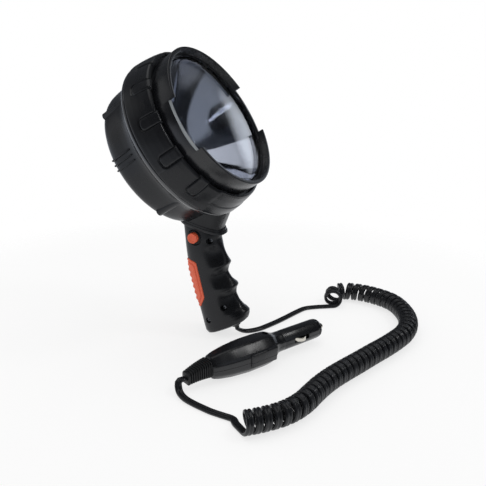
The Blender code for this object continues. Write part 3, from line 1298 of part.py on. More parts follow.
def coil_path():
    """Middle line of the curly cord with its across and outward directions at each point."""
    axis = smooth_route(place_on_ground(COIL_AXIS_ROUTE), COIL_PITCH / 8)
    ring = COIL_RADIUS - CORD_THICKNESS / 2
    up = Vector((0, 0, 1))
    tangents = []
    for k in range(len(axis)):
        tangents.append((axis[min(k + 1, len(axis) - 1)] - axis[max(k - 1, 0)]).normalized())
    phase = [0.0]
    total = len(axis) - 1
    for k in range(1, len(axis)):
        step = (axis[k] - axis[k - 1]).length
        low, high = max(k - 8, 0), min(k + 8, total)
        bend = tangents[low].angle(tangents[high]) / ((high - low) * step)
        eased = (min(k, total - k) / total - COIL_EVEN_SHARE) / COIL_EASE_SHARE
        loose = COIL_END_PITCH + (COIL_PITCH - COIL_END_PITCH) * min(max(eased, 0.0), 1.0)
        pitch = loose / (1 - min(bend * ring, 0.55))
        phase.append(phase[-1] + 2 * math.pi * step / pitch)
    turns = round(phase[-1] / (2 * math.pi))
    scale = turns * 2 * math.pi / phase[-1]
    count = turns * COIL_POINTS
    wanted = np.linspace(0.0, turns * 2 * math.pi, count + 1)
    places = np.interp(wanted, [value * scale for value in phase], range(len(axis)))
    path, across, outward = [], [], []
    for angle, place in zip(wanted, places):
        k = min(int(place), total - 1)
        part = place - k
        centre = axis[k].lerp(axis[k + 1], part)
        along = tangents[k].lerp(tangents[k + 1], part).normalized()
        side = along.cross(up).normalized()
        out = -up * math.cos(angle) + side * math.sin(angle)
        path.append(centre + out * ring)
        across.append(along)
        outward.append(out)
    return path, across, outward, turns


def least_turn_gap(path, across, per_turn):
    """Least clear distance between the cord and its next turn, measured on points."""
    half = CORD_WIDTH / 2
    least = CORD_WIDTH
    for k in range(len(path) - per_turn):
        for near in range(max(k + per_turn - 2, 0), min(k + per_turn + 3, len(path))):
            one, other = path[k] + across[k] * half, path[near] - across[near] * half
            least = min(least, (other - one).length)
    return least


def make_cord(kit, handle_frame, plug_frame):
    path, across, outward, turns = coil_path()
    start_way = (path[1] - path[0]).normalized()
    end_way = (path[-1] - path[-2]).normalized()
    level = Vector((start_way.x, start_way.y, 0.0)).normalized()
    path.insert(0, path[0] - level * CORD_WIDTH)
    across.insert(0, Vector((0, 0, 1)).cross(level) * (1 if across[0].dot(
        Vector((0, 0, 1)).cross(level)) > 0 else -1))
    outward.insert(0, Vector((0, 0, -1)))
    level_end = Vector((end_way.x, end_way.y, 0.0)).normalized()
    path.append(path[-1] + level_end * CORD_WIDTH)
    turn_end = Vector((0, 0, 1)).cross(level_end)
    across.append(turn_end * (1 if across[-1].dot(turn_end) > 0 else -1))
    outward.append(Vector((0, 0, -1)))
    sweep_flat("curly_cord", path, across, outward, kit["pvc"])
    gap = least_turn_gap(path, across, COIL_POINTS)
    length = sum((b - a).length for a, b in zip(path, path[1:]))
    print(f"curly cord: {turns} turns, {length:.3f} m long, least gap to itself {gap * 1000:.2f} mm")
    exit_point = handle_frame @ Vector((GROMMET_ACROSS, 0.0, grommet_face() - GROMMET_STAND))
    boot_end = plug_frame @ Vector((-BOOT_LENGTH, 0.0, -BOOT_DROOP))
    make_lamp_lead(kit, exit_point, handle_frame, path[0], level)
    make_plug_lead(kit, boot_end, plug_frame, path[-1], level_end)


def make_lamp_lead(kit, exit_point, handle_frame, coil_start, level):
    """Free stretch from the grommet along the ground to the coil."""
    down = (handle_frame.to_3x3() @ Vector((0, 0, -1))).normalized()
    rest = CORD_THICKNESS / 2
    start = exit_point + down * FIT_GAP
    end = coil_start - level * FIT_GAP
    route = [start, start + down * CORD_THICKNESS]
    route += place_on_ground([
        (0.0345, 0.0030, 0.0045), (0.0385, 0.0075, 0.0024), (0.0435, 0.0125, rest),
        (0.0500, 0.0210, rest), (0.0550, 0.0320, rest), (0.0605, 0.0460, rest),
        (0.0665, 0.0640, rest), (0.0715, 0.0800, rest), (0.0775, 0.0945, rest)])
    route += [end - level * 2 * CORD_WIDTH, end - level * CORD_WIDTH, end]
    sweep_lead("lamp_lead", route, kit)


def make_plug_lead(kit, boot_end, plug_frame, coil_end, level):
    """Free stretch from the coil along the ground up into the boot."""
    back = (plug_frame.to_3x3() @ Vector((-1, 0, 0))).normalized()
    rest = CORD_THICKNESS / 2
    start = coil_end + level * FIT_GAP
    end = boot_end + back * FIT_GAP
    route = [start, start + level * CORD_WIDTH]
    route += place_on_ground([
        (0.0965, -0.1523, rest), (0.0860, -0.1510, rest), (0.0750, -0.1498, rest), (0.0650, -0.1475, rest),
        (0.0540, -0.1445, rest), (0.0430, -0.1405, 0.0024), (0.0350, -0.1350, 0.0045)])
    route += [end + back * CORD_WIDTH, end]
    sweep_lead("plug_lead", route, kit)


def sweep_lead(name, route, kit):
    """A free stretch of cord with its flat side down."""
    path = smooth_route(route, CORD_WIDTH / 2)
    up = Vector((0, 0, 1))
    across, outward = [], []
    ways = [(path[min(k + 1, len(path) - 1)] - path[max(k - 1, 0)]) for k in range(len(path))]
    ways[0], ways[-1] = route[1] - route[0], route[-1] - route[-2]
    for along in ways:
        along = along.normalized()
        side = up.cross(along)
        if side.length < 0.5 and across:
            side = across[-1] - along * along.dot(across[-1])
        side.normalize()
        if across and side.dot(across[-1]) < 0:
            side = -side
        across.append(side)
        outward.append(along.cross(side))
    sweep_flat(name, path, across, outward, kit["pvc"])


def main():
    clear_scene()
    kit = make_materials()
    lean = Matrix.Rotation(-LEAN, 4, "Y")
    top = Vector((HANDLE_TOP_X, 0.0, HANDLE_TOP_Z))
    rake = Matrix.Rotation(HANDLE_RAKE, 4, "Y")
    grip = top + rake @ Vector((-GRIP_ACROSS_SHARE * HANDLE_REAR_REACH, 0.0,
                                -GRIP_DOWN_SHARE * HANDLE_LENGTH))
    lamp_place = -(lean @ grip)
    lamp = add_frame("lamp_frame", lamp_place, (0.0, -LEAN, 0.0))
    handle = add_frame("handle_frame", (HANDLE_TOP_X, 0.0, HANDLE_TOP_Z), (0.0, HANDLE_RAKE, 0.0),
                       lamp)
    plug_spot = Vector((PLUG_X, PLUG_Y, PLUG_HEIGHT - GRIP_HEIGHT))
    plug = add_frame("plug_frame", plug_spot, (0.0, 0.0, PLUG_TURN))
    make_hood_ring(kit, lamp)
    make_lens(kit, lamp)
    make_gasket(kit, lamp)
    make_reflector(kit, lamp)
    make_bulb(kit, lamp)
    make_bulb_clip(kit, lamp)
    make_front_band(kit, lamp)
    make_rear_shell(kit, lamp)
    make_shell_screws(kit, lamp)
    make_leads(kit, lamp)
    head_cutter = add_guide("head_clearance", head_clearance_mesh(), lamp)
    make_handle(kit, handle, head_cutter)
    make_collar(kit, handle, head_cutter)
    make_button(kit, handle)
    make_grommet(kit, handle)
    make_plug_shells(kit, plug)
    make_plug_screw(kit, plug)
    fuse_front, fuse_back = make_plug_tip(kit, plug)
    make_fuse(kit, plug, BARREL_WEB_PLACE + BARREL_WEB_THICKNESS + FIT_GAP,
              PLUG_LENGTH - PIN_FLANGE_THICKNESS)
    make_plug_contacts(kit, plug)
    make_boot(kit, plug)
    lamp_matrix = Matrix.Translation(lamp_place) @ lean
    handle_matrix = (lamp_matrix @ Matrix.Translation((HANDLE_TOP_X, 0.0, HANDLE_TOP_Z))
                     @ Matrix.Rotation(HANDLE_RAKE, 4, "Y"))
    plug_matrix = Matrix.Translation(plug_spot) @ Matrix.Rotation(PLUG_TURN, 4, "Z")
    make_cord(kit, handle_matrix, plug_matrix)


main()
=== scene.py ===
"""Handheld searchlight with a pistol grip, a curly cord and a twelve-volt vehicle plug.

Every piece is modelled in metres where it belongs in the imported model: the origin is the middle
of the grip, +X is the way the lamp points over the ground, +Y its left side and +Z up.
"""
import json
import math

import bmesh
import bpy
import numpy as np
from bpy.props import FloatProperty, FloatVectorProperty, IntProperty, PointerProperty
from mathutils import Matrix, Vector


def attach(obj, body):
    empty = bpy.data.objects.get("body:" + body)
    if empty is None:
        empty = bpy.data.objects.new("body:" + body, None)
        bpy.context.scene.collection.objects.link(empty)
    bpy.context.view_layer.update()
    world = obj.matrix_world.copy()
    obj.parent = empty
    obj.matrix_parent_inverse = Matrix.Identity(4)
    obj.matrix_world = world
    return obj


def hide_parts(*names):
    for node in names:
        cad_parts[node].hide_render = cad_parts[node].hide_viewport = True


bl_info = {
    "name": "Handheld searchlight",
    "version": (1, 0, 0),
    "blender": (4, 5, 0),
    "location": "View3D > Sidebar > Searchlight",
    "description": "Builds a handheld searchlight with its curly cord and vehicle plug",
    "category": "Object",
}

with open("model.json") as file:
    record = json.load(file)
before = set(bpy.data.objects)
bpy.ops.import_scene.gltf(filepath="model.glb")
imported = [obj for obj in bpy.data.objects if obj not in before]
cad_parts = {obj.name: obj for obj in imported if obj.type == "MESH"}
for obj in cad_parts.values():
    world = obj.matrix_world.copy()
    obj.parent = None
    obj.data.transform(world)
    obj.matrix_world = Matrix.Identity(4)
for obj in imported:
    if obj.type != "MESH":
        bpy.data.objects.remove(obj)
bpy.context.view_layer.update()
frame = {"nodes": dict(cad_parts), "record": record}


def turned(degrees, axis):
    return Matrix.Rotation(math.radians(degrees), 4, axis)


# Places of the head, the handle and the plug
GROUND = -0.0612
LEAN = turned(-32.4, "Y")
HEAD = Matrix.Translation(LEAN @ Vector((0.108, 0.0, 0.140))) @ LEAN
HANDLE = HEAD @ Matrix.Translation((-0.092, 0.0, -0.092)) @ turned(14.4, "Y")
PLUG = Matrix.Translation((0.0480, -0.1030, GROUND + 0.0153)) @ turned(62.0, "Z")
QUARTER = turned(90.0, "Z")
UP = Vector((0.0, 0.0, 1.0))

# Where the head's pieces meet: front of the band, its widest radius and the circle of the screws
BAND_FRONT = -0.0185
BAND_RADIUS = 0.0877
SCREW_CIRCLE = BAND_RADIUS - 0.0122
SHELL_SEAT = -0.0640

# Where the plug's halves, its screw and its cord are, and the underside of the handle
PLUG_SEAM = -0.0015
PLUG_SCREW = 0.0700
BOOT_DROP = -0.0034
HANDLE_FOOT = -0.982 * 0.1080
FOOT_SLANT = 0.16
BUSH_AHEAD = 0.0100
BUSH_FACE = HANDLE_FOOT + FOOT_SLANT * BUSH_AHEAD

# Half the gap between two halves, and the radii of the holes for a screw and for its head
HALF_GAP = 0.00015
SCREW_HOLE = 0.0018
HEAD_HOLE = 0.0033


def linear(code):
    """Turns an sRGB hex colour into the linear values that shaders take."""
    levels = [int(code[k:k + 2], 16) / 255 for k in (0, 2, 4)]
    return tuple(v / 12.92 if v <= 0.04045 else ((v + 0.055) / 1.055) ** 2.4 for v in levels)


def length_of(name, description, default):
    return FloatProperty(name=name, description=description, default=default, min=0.0,
                         unit="LENGTH", subtype="DISTANCE", precision=5)


def number_of(name, description, default, least, most):
    return FloatProperty(name=name, description=description, default=default, min=least, max=most)


def count_of(name, description, default, least, most):
    return IntProperty(name=name, description=description, default=default, min=least, max=most)


def colour_of(name, description, code):
    return FloatVectorProperty(name=name, description=description, subtype="COLOR", size=3,
                               min=0.0, max=1.0, default=linear(code))


class HeadSettings(bpy.types.PropertyGroup):
    hood_radius: length_of("Hood radius", "Outside radius of the glossy hood", 0.0768)
    hood_length: length_of("Hood length", "Length of the hood from its rim to the band's shelf",
                           0.0220)
    hood_wall: length_of("Hood wall", "Wall thickness of the hood", 0.0038)
    notch_depth: length_of("Notch depth", "Depth of the two notches in the hood's rim", 0.0060)
    notch_half: length_of("Notch half width", "Half the width of a notch", 0.0256)
    tab_half: length_of("Tab half width", "Half the width of each tab of the band", 0.0060)
    tab_reach: length_of("Tab reach", "How far behind the rim the grooves round the tabs reach",
                         0.0385)
    groove_depth: length_of("Groove depth", "Depth of the groove round each tab", 0.0013)
    tab_count: count_of("Tabs", "Tabs round the front band", 14, 3, 30)


class HandleSettings(bpy.types.PropertyGroup):
    length: length_of("Handle length", "Length that the handle's section places are shares of",
                      0.1080)
    reach: length_of("Reach", "Reach of the handle from its axis to its front and back", 0.0250)
    half_width: length_of("Half width", "Half the width of the handle", 0.0155)
    insert_stand: length_of("Insert stand", "How far the orange insert stands proud", 0.0007)
    button_radius: length_of("Button radius", "Radius of the push button", 0.0055)
    button_face: length_of("Button face", "Distance of the button's face from the middle", 0.0192)
    scoop: number_of("Finger scoops", "Share of the width that the scoops take away", 0.47, 0.0,
                     0.8)


class PlugSettings(bpy.types.PropertyGroup):
    length: length_of("Plug length", "Length of the plug without its tip ring and pin", 0.1370)
    half_width: length_of("Half width", "Half the width of the plug's body", 0.0174)
    half_height: length_of("Half height", "Half the height of the plug's body", 0.0150)
    barrel_radius: length_of("Barrel radius", "Radius of the barrel that enters the socket",
                             0.01045)
    boot_length: length_of("Boot length", "Length of the ribbed boot", 0.0250)
    boot_ribs: count_of("Boot ribs", "Ribs along the boot", 11, 3, 20)


class CordSettings(bpy.types.PropertyGroup):
    width: length_of("Cord width", "Width of the flat two-core cord", 0.0070)
    thickness: length_of("Cord thickness", "Thickness of the flat cord", 0.0037)
    coil_radius: length_of("Coil radius", "Outside radius of the coil", 0.0107)
    pitch: length_of("Coil pitch", "Distance from turn to turn along the coil", 0.0083)
    end_pitch: length_of("End pitch", "Distance from turn to turn at the coil's ends", 0.0078)
    per_turn: count_of("Points a turn", "Sections of the cord in each turn", 24, 12, 48)


class ColourSettings(bpy.types.PropertyGroup):
    satin: colour_of("Satin black", "Colour of the band, shell, collar and handle", "0E0F12")
    gloss: colour_of("Glossy black", "Colour of the hood and the plug", "0C0D10")
    orange: colour_of("Orange", "Colour of the push button and the grip insert", "DE5F3E")
    rubber: colour_of("Black rubber", "Colour of the boot, grommet, bezel and gasket", "0F1012")
    cord: colour_of("Cord", "Colour of the cord's cover", "0E0F12")
    floor: colour_of("Floor", "Colour of the floor under the lamp", "F6F6F6")


class StageSettings(bpy.types.PropertyGroup):
    lens: number_of("Focal length", "Focal length of the camera in millimetres", 45.93, 10.0, 200.0)
    key: number_of("Key light", "Power of the large light over the lamp in watts", 2.3, 0.0, 100.0)
    left: number_of("Left light", "Power of the soft light on the left in watts", 0.6, 0.0, 100.0)
    right: number_of("Right light", "Power of the light high on the right in watts", 1.6, 0.0,
                     100.0)
    surround: number_of("Surround", "Brightness of the soft light from all round", 0.75, 0.0, 2.0)


# Finishes

def add_node(tree, kind, values=None, links=None, **settings):
    """Adds a node with its own settings, its input values and what feeds its inputs."""
    node = tree.nodes.new(kind)
    for name, value in settings.items():
        setattr(node, name, value)
    for key, value in (values or {}).items():
        node.inputs[key].default_value = value
    for key, source in (links or {}).items():
        tree.links.new(source, node.inputs[key])
    return node


def new_finish(name, colour, **sockets):
    """A material with its Principled shader's own sockets set."""
    material = bpy.data.materials.new(name)
    material.use_nodes = True
    shader = material.node_tree.nodes["Principled BSDF"]
    shader.inputs["Base Color"].default_value = (*colour, 1.0)
    for key, value in sockets.items():
        shader.inputs[key.replace("_", " ")].default_value = value
    place = add_node(material.node_tree, "ShaderNodeTexCoord").outputs["Object"]
    return material, material.node_tree, shader, place


def grain(tree, shader, place, size, height, strength=0.3, detail=2.0):
    """Bumps the surface with grain of this size and height in millimetres."""
    marks = add_node(tree, "ShaderNodeTexNoise", {"Scale": 1000 / size, "Detail": detail},
                     {"Vector": place})
    bump = add_node(tree, "ShaderNodeBump", {"Strength": strength, "Distance": height / 1000},
                    {"Height": marks.outputs["Fac"]})
    tree.links.new(bump.outputs["Normal"], shader.inputs["Normal"])


def drift(tree, shader, place, size, smooth, rough, detail=3.0):
    """Lets the roughness drift between two values with patches of this size in millimetres."""
    patches = add_node(tree, "ShaderNodeTexNoise", {"Scale": 1000 / size, "Detail": detail},
                       {"Vector": place})
    between = add_node(tree, "ShaderNodeMapRange",
                       {"From Min": 0.3, "From Max": 0.7, "To Min": smooth, "To Max": rough},
                       {"Value": patches.outputs["Fac"]})
    tree.links.new(between.outputs["Result"], shader.inputs["Roughness"])


def mottle(tree, shader, place, colour, rubbed, size, change):
    """Mottles the colour with patches of this size in millimetres, and lightens rubbed edges."""
    patches = add_node(tree, "ShaderNodeTexNoise", {"Scale": 1000 / size, "Detail": 4.0},
                       {"Vector": place})
    paler = tuple(min(v * change + 0.002, 1.0) for v in colour)
    skin = add_node(tree, "ShaderNodeMix", {"A": (*colour, 1.0), "B": (*paler, 1.0)},
                    {"Factor": patches.outputs["Fac"]}, data_type="RGBA")
    if rubbed:
        share, start = rubbed
        shape = add_node(tree, "ShaderNodeNewGeometry")
        edge = add_node(tree, "ShaderNodeMapRange",
                        {"From Min": start, "From Max": start + 0.10, "To Min": 0.0,
                         "To Max": share}, {"Value": shape.outputs["Pointiness"]})
        skin = add_node(tree, "ShaderNodeMix", {"B": (*RUBBED_ABS, 1.0)},
                        {"Factor": edge.outputs["Result"], "A": skin.outputs["Result"]},
                        data_type="RGBA")
    tree.links.new(skin.outputs["Result"], shader.inputs["Base Color"])


# Grey that handling rubs into the edges of black ABS
RUBBED_ABS = linear("26282C")

# Extruded flexible PVC: a satin skin with long faint waves from the die.
SOFT_PVC = dict(dulled=(10.0, 0.22, 0.36), mottled=(6.0, 1.4), grained=(1.5, 0.02), IOR=1.54,
                Specular_IOR_Level=0.4)

# Fused quartz of a halogen bulb: clear and thin-walled, with a faint swirl.
QUARTZ = dict(name="fused quartz", colour="F7F8FA", dulled=(4.0, 0.02, 0.05),
              grained=(3.0, 0.02, 0.2), IOR=1.46, Transmission_Weight=1.0)

# Colour: a hex value or the name of a colour setting. Dulled: patch size in millimetres, least and
# most roughness, detail. Mottled: patch size, change of colour. Grained: size and height in
# millimetres, strength, detail. Rubbed: share of grey on the edges, and where they start.
FINISHES = {
    # ABS moulded in a spark-eroded tool: a soft sheen over a fine even grain. The real grain is
    # about 0.1 mm, drawn at 0.4 mm so that it shows.
    "satin_black": dict(name="satin moulded ABS", colour="satin", dulled=(18.0, 0.24, 0.35),
                        mottled=(9.0, 1.35), rubbed=(0.5, 0.52), grained=(0.4, 0.02), IOR=1.53,
                        Specular_IOR_Level=0.30),
    # The same ABS on the near notch's cut face, paler and matt: the paler grey is a painted
    # highlight where the light from above falls on that face.
    "trimmed": dict(name="trimmed ABS", colour="74797C", dulled=(2.0, 0.36, 0.52),
                    mottled=(1.5, 1.2), grained=(0.3, 0.02), IOR=1.53),
    # The bead of the shell is moulded against a polished insert, so it mirrors the bright room.
    "bead": dict(name="polished bead", colour="17181B", dulled=(8.0, 0.10, 0.20),
                 mottled=(6.0, 1.3), grained=(3.0, 0.01), IOR=1.53, Specular_IOR_Level=1.0),
    # ABS from a polished tool: clear reflections that handling has dulled in faint smudges.
    "gloss_black": dict(name="polished ABS", colour="gloss", dulled=(14.0, 0.23, 0.30, 1.0),
                        mottled=(12.0, 1.3), rubbed=(0.4, 0.58), grained=(9.0, 0.01, 0.12, 1.0),
                        IOR=1.53),
    # Overmoulded TPE, a soft rubber: even and matt, slightly darker where the skin is dull.
    "orange_rubber": dict(name="overmoulded TPE", colour="orange", dim=0.92,
                          dulled=(6.0, 0.44, 0.58), mottled=(4.0, 1.12), grained=(0.5, 0.03),
                          IOR=1.50),
    # Moulded EPDM rubber: deep black with a dull bloom and a slightly uneven skin.
    "black_rubber": dict(name="EPDM rubber", colour="rubber", dulled=(5.0, 0.40, 0.56),
                         mottled=(3.0, 1.6), grained=(0.6, 0.03), IOR=1.52,
                         Specular_IOR_Level=0.35),
    "cord": dict(SOFT_PVC, name="flexible PVC", colour="cord"),
    "wire_cover": dict(SOFT_PVC, name="wire PVC", colour="1B1C1F"),
    "switch_black": dict(SOFT_PVC, name="glass-filled nylon", colour="202124"),
    # Moulded polycarbonate: clear and faintly grey, with a soft orange peel from the tool.
    "clear": dict(name="clear polycarbonate", colour="F1F3F6", dulled=(20.0, 0.02, 0.06),
                  grained=(9.0, 0.02, 0.2), IOR=1.58, Transmission_Weight=1.0),
    "bulb_glass": QUARTZ, "fuse_glass": QUARTZ,
    # Vacuum-metallised aluminium over a moulded bowl: a bright mirror with a slight haze and the
    # bowl's long soft waves.
    "reflector": dict(name="vacuum-metallised reflector", colour="CBCED8",
                      dulled=(12.0, 0.035, 0.10, 4.0), mottled=(16.0, 1.12),
                      grained=(14.0, 0.08, 0.25), Metallic=1.0),
    # Zinc-plated steel, dulled by its dark passivation to a mottled grey metal.
    "steel": dict(name="zinc-plated steel", colour="5E6064", dulled=(1.5, 0.24, 0.44),
                  mottled=(2.0, 1.25), grained=(0.3, 0.01), Metallic=1.0),
    # Nickel-plated brass: a warm bright metal with fine rub marks along the contact.
    "nickel": dict(name="nickel-plated brass", colour="CCC8BE", dulled=(1.2, 0.10, 0.26),
                   mottled=(2.5, 1.15), grained=(0.4, 0.01, 0.2), Metallic=1.0),
}


def make_finish(name, colour, dulled, grained, mottled=None, rubbed=None, dim=1.0, **sockets):
    """Makes one finish from its row of the table."""
    settings = bpy.context.scene.searchlight_colours
    shown = tuple(getattr(settings, colour)) if hasattr(settings, colour) else linear(colour)
    shown = tuple(v * dim for v in shown)
    material, tree, shader, place = new_finish(name, shown, **sockets)
    drift(tree, shader, place, *dulled)
    if mottled:
        mottle(tree, shader, place, shown, rubbed, *mottled)
    grain(tree, shader, place, *grained)
    return material


made_finishes = {}


def finish_for(slot):
    """The material of one of the record's slots, or of the notch face with its painted highlight,
    or of beaded faces, made once.
    """
    if slot not in made_finishes:
        made_finishes[slot] = make_finish(**FINISHES[slot])
    return made_finishes[slot]


# Modelling helpers

def tidy(shape):
    """Merges doubles and turns the faces outwards."""
    bmesh.ops.remove_doubles(shape, verts=shape.verts, dist=0.000003)
    bmesh.ops.recalc_face_normals(shape, faces=shape.faces)
    return shape


def ease(shape, width, segments=2, angle=math.radians(35)):
    """Rounds the edges that are sharper than an angle."""
    sharp = [e for e in shape.edges if len(e.link_faces) == 2 and e.calc_face_angle(0.0) > angle]
    bmesh.ops.bevel(shape, geom=sharp, offset=width, offset_type="OFFSET", segments=segments,
                    profile=0.5, affect="EDGES", clamp_overlap=True, material=-1)
    return shape


def turn_outline(outline, steps=128, closed=True):
    """Spins an outline of (x, radius) points about the X axis."""
    shape = bmesh.new()
    points = [shape.verts.new((x, 0.0, radius)) for x, radius in outline]
    pairs = list(zip(points, points[1:]))
    if closed:
        pairs.append((points[-1], points[0]))
    edges = [shape.edges.new(pair) for pair in pairs if pair[0].co.z > 0 or pair[1].co.z > 0]
    bmesh.ops.spin(shape, geom=points + edges, cent=(0, 0, 0), axis=(1, 0, 0), dvec=(0, 0, 0),
                   angle=2 * math.pi, steps=steps, use_merge=True, use_duplicate=False)
    return tidy(shape)


def skin_rings(rings):
    """Extrudes the first ring of points from each ring to the next and caps both ends."""
    shape = bmesh.new()
    loop = [shape.verts.new(point) for point in rings[0]]
    edges = [shape.edges.new(pair) for pair in zip(loop, loop[1:] + loop[:1])]
    shape.faces.new(loop)
    for ring in rings[1:]:
        made = bmesh.ops.extrude_edge_only(shape, edges=edges)["geom"]
        fresh = {item for item in made if isinstance(item, bmesh.types.BMVert)}
        loop = [next(e.other_vert(v) for e in v.link_edges if e.other_vert(v) in fresh)
                for v in loop]
        for vert, point in zip(loop, ring):
            vert.co = point
        edges = [shape.edges.get(pair) for pair in zip(loop, loop[1:] + loop[:1])]
    shape.faces.new(loop)
    return tidy(shape)


def rod(start, end, radius, segments=32, second=None):
    """A round rod or cone between two points."""
    start, end = Vector(start), Vector(end)
    turn = (end - start).to_track_quat("Z", "Y").to_matrix().to_4x4()
    shape = bmesh.new()
    bmesh.ops.create_cone(shape, cap_ends=True, segments=segments, radius1=radius,
                          radius2=radius if second is None else second,
                          depth=(end - start).length,
                          matrix=Matrix.Translation((start + end) / 2) @ turn)
    return shape


def block(low, high):
    """A box between two corners."""
    low, high = Vector(low), Vector(high)
    shape = bmesh.new()
    bmesh.ops.create_cube(shape, size=1.0)
    bmesh.ops.scale(shape, vec=high - low, verts=shape.verts)
    bmesh.ops.translate(shape, vec=(low + high) / 2, verts=shape.verts)
    return shape


def gather(shapes):
    """Puts several shapes into one."""
    whole = bmesh.new()
    for shape in shapes:
        mesh = bpy.data.meshes.new("part")
        shape.to_mesh(mesh)
        shape.free()
        whole.from_mesh(mesh)
        bpy.data.meshes.remove(mesh)
    return whole


def cut(shape, *tools, operation="DIFFERENCE"):
    """Cuts a shape with each tool in turn, or joins them to it, and returns the result."""
    for tool in tools:
        pair = []
        for name, part in (("work", shape), ("tool", tool)):
            mesh = bpy.data.meshes.new(name)
            part.to_mesh(mesh)
            part.free()
            item = bpy.data.objects.new(name, mesh)
            bpy.context.scene.collection.objects.link(item)
            pair.append(item)
        modifier = pair[0].modifiers.new("cut", "BOOLEAN")
        modifier.operation = operation
        modifier.object = pair[1]
        shape = bmesh.new()
        shape.from_mesh(pair[0].evaluated_get(bpy.context.evaluated_depsgraph_get()).to_mesh())
        for item in pair:
            mesh = item.data
            bpy.data.objects.remove(item, do_unlink=True)
            bpy.data.meshes.remove(mesh)
    return shape


def finish_piece(shape, place, slot, name, *nodes, body="lamp", smooth=35.0):
    """Makes a shape an object in its place, with its finish, and sets it on its body."""
    bmesh.ops.transform(shape, matrix=place, verts=shape.verts)
    mesh = bpy.data.meshes.new(name)
    shape.to_mesh(mesh)
    shape.free()
    mesh.materials.append(finish_for(slot))
    mesh.shade_smooth()
    mesh.set_sharp_from_angle(angle=math.radians(smooth))
    piece = bpy.data.objects.new(name, mesh)
    bpy.context.scene.collection.objects.link(piece)
    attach(piece, body)
    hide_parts(*nodes)
    return piece


def split_piece(shape, place, slot, halves):
    """Makes two pieces of a shape: each half's name, its node and the box that it loses."""
    mesh = bpy.data.meshes.new("whole")
    shape.to_mesh(mesh)
    shape.free()
    for name, node, low, high in halves:
        half = bmesh.new()
        half.from_mesh(mesh)
        finish_piece(tidy(cut(half, block(low, high))), place, slot, name, node)
    bpy.data.meshes.remove(mesh)


def refinish(piece, slot, belongs):
    """Gives some of a head piece's faces another finish, by their middle and normal in the head."""
    piece.data.materials.append(finish_for(slot))
    back = HEAD.inverted()
    turn = back.to_3x3()
    for face in piece.data.polygons:
        if belongs(back @ face.center, turn @ face.normal):
            face.material_index = 1


def polar(shape, change):
    """Moves each point by a change of (x, radius, angle), with the angle from +Y towards +Z."""
    for vert in shape.verts:
        x, y, z = vert.co
        radius = math.hypot(y, z)
        if radius > 0.001:
            x, radius, angle = change(x, radius, math.atan2(z, y) % (2 * math.pi))
            vert.co = (x, radius * math.cos(angle), radius * math.sin(angle))


def section(count, power, shape_point):
    """A ring of points from the cosine and sine of each angle, squared off by a power below 1."""
    ring = []
    for k in range(count):
        angle = 2 * math.pi * (k + 0.5) / count
        c, s = math.cos(angle), math.sin(angle)
        ring.append(shape_point(math.copysign(abs(c) ** power, c),
                                math.copysign(abs(s) ** power, s)))
    return ring


def eased_corner(before, corner, after, share):
    """A point on the curve that rounds a corner."""
    return before * (1 - share) ** 2 + corner * 2 * share * (1 - share) + after * share ** 2


def soft_step(value):
    """Rises smoothly from 0 to 1."""
    value = min(max(value, 0.0), 1.0)
    return value * value * (3 - 2 * value)


# Cord

# Spacing of the sections of the free stretches
LEAD_STEP = 0.0028

# Where the middle of the coil lies on the ground, from the handle's lead to the plug's
COIL_ROUTE = (
    (0.1065, 0.1150), (0.1035, 0.1225), (0.1020, 0.1305), (0.1040, 0.1395), (0.1105, 0.1460),
    (0.1200, 0.1490), (0.1330, 0.1495), (0.1470, 0.1470), (0.1620, 0.1415), (0.176, 0.132),
    (0.189, 0.114), (0.198, 0.094), (0.202, 0.073), (0.201, 0.053), (0.196, 0.034), (0.189, 0.014),
    (0.181, -0.006), (0.173, -0.027), (0.165, -0.047), (0.158, -0.066), (0.153, -0.084),
    (0.1500, -0.1000), (0.1475, -0.1150), (0.1430, -0.1290), (0.1365, -0.1410), (0.1285, -0.1510),
    (0.1205, -0.1592), (0.1132, -0.1665),
)


def on_ground(points):
    """Lifts points of x, y and height over the ground into place."""
    return [Vector((x, y, GROUND + height)) for x, y, height in points]


def spread(points, spacing=None, count=None):
    """Points at even distances along a line, both ends included."""
    lengths = [0.0]
    for one, other in zip(points, points[1:]):
        lengths.append(lengths[-1] + (other - one).length)
    count = count or max(2, round(lengths[-1] / spacing))
    wanted = np.linspace(0.0, lengths[-1], count + 1)
    return list(zip(*(np.interp(wanted, lengths, column) for column in zip(*points))))


def smooth_route(points, spacing):
    """Evenly spaced points on a smooth curve through the route's own points."""
    route = [Vector(p) for p in points]
    route = [2 * route[0] - route[1]] + route + [2 * route[-1] - route[-2]]
    fine = [0.5 * (2 * b + (c - a) * t + (2 * a - 5 * b + 4 * c - d) * t ** 2
                   + (3 * b - a - 3 * c + d) * t ** 3)
            for a, b, c, d in zip(route, route[1:], route[2:], route[3:])
            for t in (step / 24 for step in range(24))]
    return [Vector(p) for p in spread(fine + [route[-2]], spacing)]


